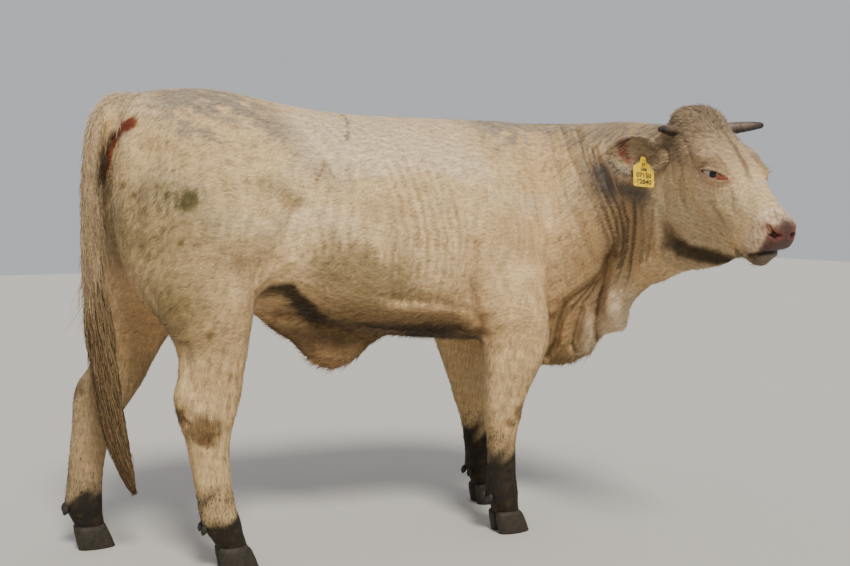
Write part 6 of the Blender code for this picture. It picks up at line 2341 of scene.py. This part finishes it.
@dataclass
class Foot:
    """The claws and dewclaws of one foot."""

    leg: str
    spread: float = 0.0230
    profile: Path = (
        (0.0000, 0.014, 0.0475, 0.0195), (0.0020, 0.0138, 0.0488, 0.0207), (0.0120, 0.011, 0.0478, 0.0210),
        (0.0240, 0.008, 0.0468, 0.0212), (0.0360, 0.004, 0.0455, 0.0210), (0.0480, 0.001, 0.0435, 0.0202),
        (0.0560, -0.002, 0.0415, 0.0192), (0.0640, -0.003, 0.0340, 0.0150))

    def build(self, material: bpy.types.Material) -> None:
        """Make the claws in place of their nodes.

        Args:
            material: Finish of the horn.
        """
        for side in Side:
            low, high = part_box(f"claw_{self.leg}_{side.word}")
            centre_x = (low.x + high.x) / 2 - 0.010
            centre_y = (low.y + high.y) / 2
            corners = 30
            turn = np.arange(corners) * 2 * math.pi / corners
            rows = []
            for z, ahead, half_length, half_width in self.profile:
                s, c = np.sin(turn), np.cos(turn)
                along = np.sign(c) * np.abs(c) ** np.where(c > 0, 1.15, 0.8) * half_length
                across = np.sign(s) * np.abs(s) ** 0.9 * half_width * (1 - 0.12 * np.clip(c, 0, 1))
                rows.append(np.stack([centre_x + ahead - 0.004 + along, centre_y + across,
                                      np.full(corners, low.z + z)], 1))
            grid = np.stack(rows)
            verts = np.vstack([grid.reshape(-1, 3), grid[0].mean(axis=0)[None], grid[-1].mean(axis=0)[None]])
            faces = ring_faces(len(rows), corners)[:, ::-1]
            noise = waves(verts, 0.02, 71)
            colours = tint("#2F281D") * (1 + 0.45 * noise)[:, None]
            claw = mesh_object(f"hoof_{self.leg}_{side.word}", verts, faces, colours)
            keep_value(claw.data, "growth", verts[:, 2])
            install(claw, material, "claw", f"claw_{self.leg}_{side.word}")
            low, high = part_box(f"dewclaw_{self.leg}_{side.word}")
            middle = (low + high) / 2
            line = np.array([middle + Vector((0.004, 0, 0.012)), middle + Vector((0.001, 0, 0.006)), middle,
                             middle + Vector((-0.003, 0, -0.007)), middle + Vector((-0.005, 0, -0.013))])
            verts, faces = tube(line, np.array([0.004, 0.0075, 0.0088, 0.0070, 0.0022]),
                                np.array((0, 1.0, 0)), 14)
            colours = tint("#2A241D") * (1 + 0.3 * waves(verts, 0.01, 72))[:, None]
            spur = mesh_object(f"spur_{self.leg}_{side.word}", verts, faces, colours)
            keep_value(spur.data, "growth", verts[:, 2])
            install(spur, material, "dewclaw", f"dewclaw_{self.leg}_{side.word}")


@dataclass
class Tag:
    """The tag of the right ear: a moulded plate on a stud, with plain numbers."""

    share: float = 0.36
    down: float = 0.008
    depth: float = 0.009
    width: float = 0.064
    height: float = 0.076
    thickness: float = 0.0020
    tilt: float = math.radians(28)
    digits: tuple[tuple[str, float, float], ...] = (
        ("31", 0.011, -0.019), ("246", 0.012, -0.033), ("07150", 0.0178, -0.0505), ("62840", 0.0178, -0.0680))

    def build(self, ear: Ear) -> None:
        """Make plate, stud, button and numbers in place of the node.

        Args:
            ear: Ear that carries the tag.
        """
        along, facing, across = (Vector(v) for v in ear.directions())
        root = HEAD.place(ear.root[0], -ear.root[1], ear.root[2])
        place = root + along * ear.length * self.share + across * self.down - facing * self.depth
        up = -(across * math.cos(self.tilt) + facing * math.sin(self.tilt))
        out = along.cross(up)
        if out.dot(facing) < 0:
            out = -out
        turn = Matrix((along, up, out)).transposed().to_4x4()
        whole = Matrix.Translation(place) @ turn
        half, stem = self.width / 2 - 0.001, self.width * 0.13
        right = [(stem * 0.6, 0.006), (stem, 0.001), (stem * 1.1, -0.007), (half * 0.92, -0.021),
                 (half, -0.025),
                 (half * 1.0, -self.height * 0.90), (half * 0.97, -self.height * 0.97),
                 (half * 0.86, -self.height)]
        outline = right + [(-x, y) for x, y in reversed(right)]
        bm = bmesh.new()
        face = bm.faces.new([bm.verts.new((x, y, -self.thickness / 2)) for x, y in outline])
        grown = bmesh.ops.extrude_face_region(bm, geom=[face])
        for vert in (v for v in grown["geom"] if isinstance(v, bmesh.types.BMVert)):
            vert.co.z += self.thickness
        bmesh.ops.recalc_face_normals(bm, faces=bm.faces)
        edges = [e for e in bm.edges if len(e.link_faces) == 2 and e.calc_face_angle() > 0.6]
        bmesh.ops.bevel(bm, geom=edges, offset=0.0006, segments=2, affect="EDGES")
        stud = Matrix.Translation((0, -0.001, self.thickness / 2))
        bmesh.ops.create_cone(bm, cap_ends=True, segments=24, radius1=0.0048, radius2=0.0036, depth=0.0030,
                              matrix=stud @ Matrix.Translation((0, 0, 0.0012)))
        mesh = bpy.data.meshes.new("tag_plate")
        bm.to_mesh(mesh)
        bm.free()
        mesh.transform(whole)
        rear = bmesh.new()
        back = facing.to_track_quat("Z", "Y").to_matrix().to_4x4()
        reach = 0.0385 - self.depth
        bmesh.ops.create_cone(rear, cap_ends=True, segments=20, radius1=0.0031, radius2=0.0031, depth=reach,
                              matrix=Matrix.Translation(place - facing * reach / 2) @ back)
        bmesh.ops.create_cone(rear, cap_ends=True, segments=32, radius1=0.0108, radius2=0.0100, depth=0.0022,
                              matrix=Matrix.Translation(place - facing * (reach - 0.0012)) @ back)
        rear_mesh = bpy.data.meshes.new("tag_button")
        rear.to_mesh(rear_mesh)
        rear.free()
        finish = TagFinish().make()
        ink = PlainFinish("laser_marked_numbers", "#2A2620", 0.6, 0.1, 40.0).make()
        for name, data in (("tag_plate", mesh), ("tag_button", rear_mesh)):
            data.shade_smooth()
            data.set_sharp_from_angle(angle=math.radians(35))
            install(new_object(name, data), finish, "ear_tag", "ear_tag")
        mirror = Matrix.Diagonal((1 if along.cross(up).dot(facing) > 0 else -1, 1, 1, 1))
        for n, (text, size, y) in enumerate(self.digits):
            curve = bpy.data.curves.new(f"tag_number_{n + 1}", "FONT")
            curve.body = text
            curve.size = size
            curve.align_x = "CENTER"
            curve.offset = 0.0006
            curve.extrude = 0.00015
            made = new_object(f"number_{n + 1}", curve)
            shaped = worked_out(made)
            bpy.data.objects.remove(made)
            shaped.transform(whole @ Matrix.Translation((0, y, self.thickness / 2 + 0.0001)) @ mirror)
            install(new_object(f"tag_number_{n + 1}", shaped), ink, "ear_tag")


@dataclass
class Whiskers:
    """Longer hair where it breaks the outline: poll, tail head, belly, brisket, chin and sheath."""

    marks: Markings
    skin: bpy.types.Object

    def pick(self, share: Array, count: int, chance: np.random.Generator) -> tuple[Array, Array]:
        """Choose vertices of the skin by a share at each of them.

        Args:
            share: Chance of each vertex.
            count: How many to choose.
            chance: Source of the choice.

        Returns:
            Places and normals.
        """
        points, normals = places(self.skin.data), outward(self.skin.data)
        share = np.clip(share, 0, None)
        chosen = chance.choice(len(points), size=count, p=share / share.sum())
        return points[chosen] + chance.normal(0, 0.002, (count, 3)) - normals[chosen] * 0.001, normals[chosen]

    def build(self, chance: np.random.Generator) -> None:
        """Grow each set of long hair.

        Args:
            chance: Source of the random spread.
        """
        points, normals = places(self.skin.data), outward(self.skin.data)
        x, y, z = to_design(points).T
        local = HEAD.local(points)
        on = HEAD.near(local)
        material = HairFinish("long_cattle_hair", roughness=0.6, spread=0.25).make()
        poll = on * ramp(local[:, 0], 0.16, 0.02) * ramp(local[:, 2], -0.10, -0.05)
        top = ramp(normals[:, 2] - 0.5 * normals[:, 0], 0.5, 0.9) * ramp(z, 1.06, 1.12)
        crest = (x < -0.56) * top * ramp(np.abs(y), 0.08, 0.03)
        below = ramp(-normals[:, 2], 0.3, 0.8) * (z > 0.47) * (z < 0.66)
        belly = below * (x > -0.30) * (x < 0.50) * (np.abs(y) < 0.26)
        sheath = ramp(z, 0.53, 0.50) * (np.abs(y) < 0.08) * (x > -0.10) * (x < 0.06)
        brisket = (x > 0.50) * (z < 0.56) * ramp(-normals[:, 2], -0.1, 0.5) * (z > 0.40)
        jaw = on * ramp(-normals[:, 2], 0.2, 0.8) * (local[:, 0] < 0.40)
        behind = ramp(-normals[:, 0], 0.4, 0.9) * (np.abs(y) > 0.06)
        buttock = (x < -0.50) * (z > 0.60) * (z < 1.05) * behind
        back_knee = (z > 0.10) * (z < 0.55) * ramp(-normals[:, 0], 0.5, 0.9) * (np.abs(y) > 0.085)
        flat = fold_plane(to_design(points))
        spots = ((0.805, 0.640), (0.700, 0.500))
        lobe = sum(np.exp(-(np.linalg.norm(flat - spot, axis=1) / 0.015) ** 2) for spot in spots)
        lobe *= (y < 0.02) * (x > 0.5)
        down = np.array((0, 0, -1.0))
        up = np.array(HEAD.axes[2])
        dock = (x < -0.640) * (z > 0.72) * (z < 1.17) * (np.abs(y) < 0.05)
        sets = (
            ("poll_hair", poll, 2600, (0.012, 0.022), 0.0013, 0.06, 0.22),
            ("tail_head_hair", crest, 1000, (0.022, 0.044), 0.0017, 0.05, 0.60),
            ("belly_hair", belly, 2600, (0.014, 0.030), 0.0016, 0.05, 0.22),
            ("sheath_hair", sheath, 220, (0.025, 0.050), 0.0018, 0.08, 0.20),
            ("brisket_hair", brisket, 1000, (0.014, 0.030), 0.0015, 0.05, 0.20),
            ("lobe_hair", lobe, 260, (0.022, 0.044), 0.0015, 0.06, 0.25),
            ("jaw_hair", jaw, 1100, (0.010, 0.020), 0.0012, 0.05, 0.25),
            ("rump_hair", buttock, 1300, (0.014, 0.026), 0.0015, 0.04, 0.18),
            ("leg_hair", back_knee, 1300, (0.010, 0.020), 0.0015, 0.04, 0.22),
            ("dock_hair", dock, 2200, (0.030, 0.060), 0.0024, 0.06, 0.16),
        )
        for name, share, count, (short, long), width, curl, lift in sets:
            roots, lean = self.pick(share, count, chance)
            flow = LIE.flow(roots, lean)
            swing = chance.normal(0, 0.22, (count, 3))
            starts = unit(flow + lean * lift + swing)
            ends = unit(flow + down * 0.45 + swing)
            if name == "poll_hair":
                place = HEAD.local(roots)
                part = np.sign(place[:, 1:2]) * np.array(HEAD.axes[1])
                starts = unit(flow + part * 0.5 + swing + lean * 0.25 + up * 0.1)
                ends = unit(flow + part * 0.5 + down * 0.2 + swing)
            hues = self.marks.colour(roots, lean, True) * chance.uniform(0.78, 1.12, count)[:, None]
            if name in ("tail_head_hair", "lobe_hair"):
                hues = tint(self.marks.light) * chance.uniform(0.75, 1.1, count)[:, None]
            lengths = chance.uniform(short, long, count)
            if name == "dock_hair":
                lengths *= 1 + 1.8 * ramp(roots[:, 2], 0.98, 0.76)
                starts[:, :2] *= 0.5
                ends = unit(ends * (0.3, 0.3, 1.0))
            widths = chance.uniform(0.7, 1.2, count) * width
            locks = LockSet(name, steps=6 if name == "dock_hair" else 4)
            locks.build(roots, starts, ends, lengths, widths, hues, curl, chance, material, "coat")


@dataclass(frozen=True)
class Studio:
    """The floor, the light and the camera at the photograph's angle."""

    focal_px: float = 1050.0
    pitch_px: float = 71.0
    yaw: float = math.radians(24.0)
    aim: Vector = Vector((0.42, -0.17, 0))
    beside: float = 0.2235
    away: float = 3.0
    height: float = 0.925
    floor_colour: str = "#C6C3BC"

    def camera(self) -> None:
        """Set the camera from the photograph's focal length, height, yaw and tilt."""
        right = Vector((math.cos(self.yaw), -math.sin(self.yaw), 0))
        ahead = Vector((math.sin(self.yaw), math.cos(self.yaw), 0))
        place = self.aim - right * self.beside - ahead * self.away + Vector((0, 0, self.height)) + SHIFT
        pitch = math.atan(self.pitch_px / self.focal_px)
        look = ahead * math.cos(pitch) - Vector((0, 0, 1)) * math.sin(pitch)
        data = bpy.data.cameras.new("camera")
        data.sensor_width = 36
        data.lens = 36 * self.focal_px / IMAGE_WIDTH
        data.clip_start = 0.05
        made = new_object("camera", data)
        made.location = place
        made.rotation_mode = "QUATERNION"
        made.rotation_quaternion = look.to_track_quat("-Z", "Y")
        bpy.context.scene.camera = made

    def light(self) -> None:
        """Set soft daylight from above with one wide, gentle key."""
        world = bpy.data.worlds.new("pale_studio")
        bpy.context.scene.world = world
        world.use_nodes = True
        background = world.node_tree.nodes["Background"]
        background.inputs["Color"].default_value = (0.93, 0.95, 1.0, 1)
        background.inputs["Strength"].default_value = 0.56
        key = bpy.data.lights.new("overcast_key", "SUN")
        key.energy = 3.3
        key.angle = math.radians(16)
        key.color = (1.0, 0.962, 0.865)
        sun = new_object("overcast_key", key)
        sun.rotation_mode = "QUATERNION"
        sun.rotation_quaternion = Vector((0.06, 0.78, -0.88)).to_track_quat("-Z", "Y")

    def floor(self) -> None:
        """Lay a pale floor under the claws."""
        bm = bmesh.new()
        bmesh.ops.create_grid(bm, x_segments=8, y_segments=8, size=14)
        mesh = bpy.data.meshes.new("floor")
        bm.to_mesh(mesh)
        bm.free()
        floor = new_object("floor", mesh)
        floor.location.z = CAD_BOX[0][2] - 0.0005
        mesh.materials.append(PlainFinish("painted_floor", self.floor_colour, 0.85, 0.02, 0.8).make())


def main() -> None:
    """Build the studio, then the animal from skin to hair."""
    logging.basicConfig(level=logging.INFO, format="%(message)s")
    studio = Studio()
    studio.camera()
    studio.light()
    studio.floor()
    marks = Markings()
    skin = Skin(marks).build()
    Coat(marks, skin).build()
    chance = np.random.default_rng(5)
    Whiskers(marks, skin).build(chance)
    hair = HairFinish("ear_and_lash_hair", roughness=0.6).make()
    wet = WetFinish("wet_eye_and_lid").make()
    horn = HornFinish("grey_brown_horn").make()
    hoof = HornFinish("muddy_claw_horn", ring_mm=3.0, roughness=0.7).make()
    ears = {side: Ear(side, marks) for side in Side}
    for side in Side:
        Eye(side, marks).build(wet, hair, chance)
        Horn(side).build(horn)
        ears[side].build(hair, chance)
    Tag().build(ears[Side.RIGHT])
    for end in ("fore", "hind"):
        for side in Side:
            Foot(f"{end}_{side.word}").build(hoof)
    Switch().build(chance)


if __name__ == "__main__":
    main()
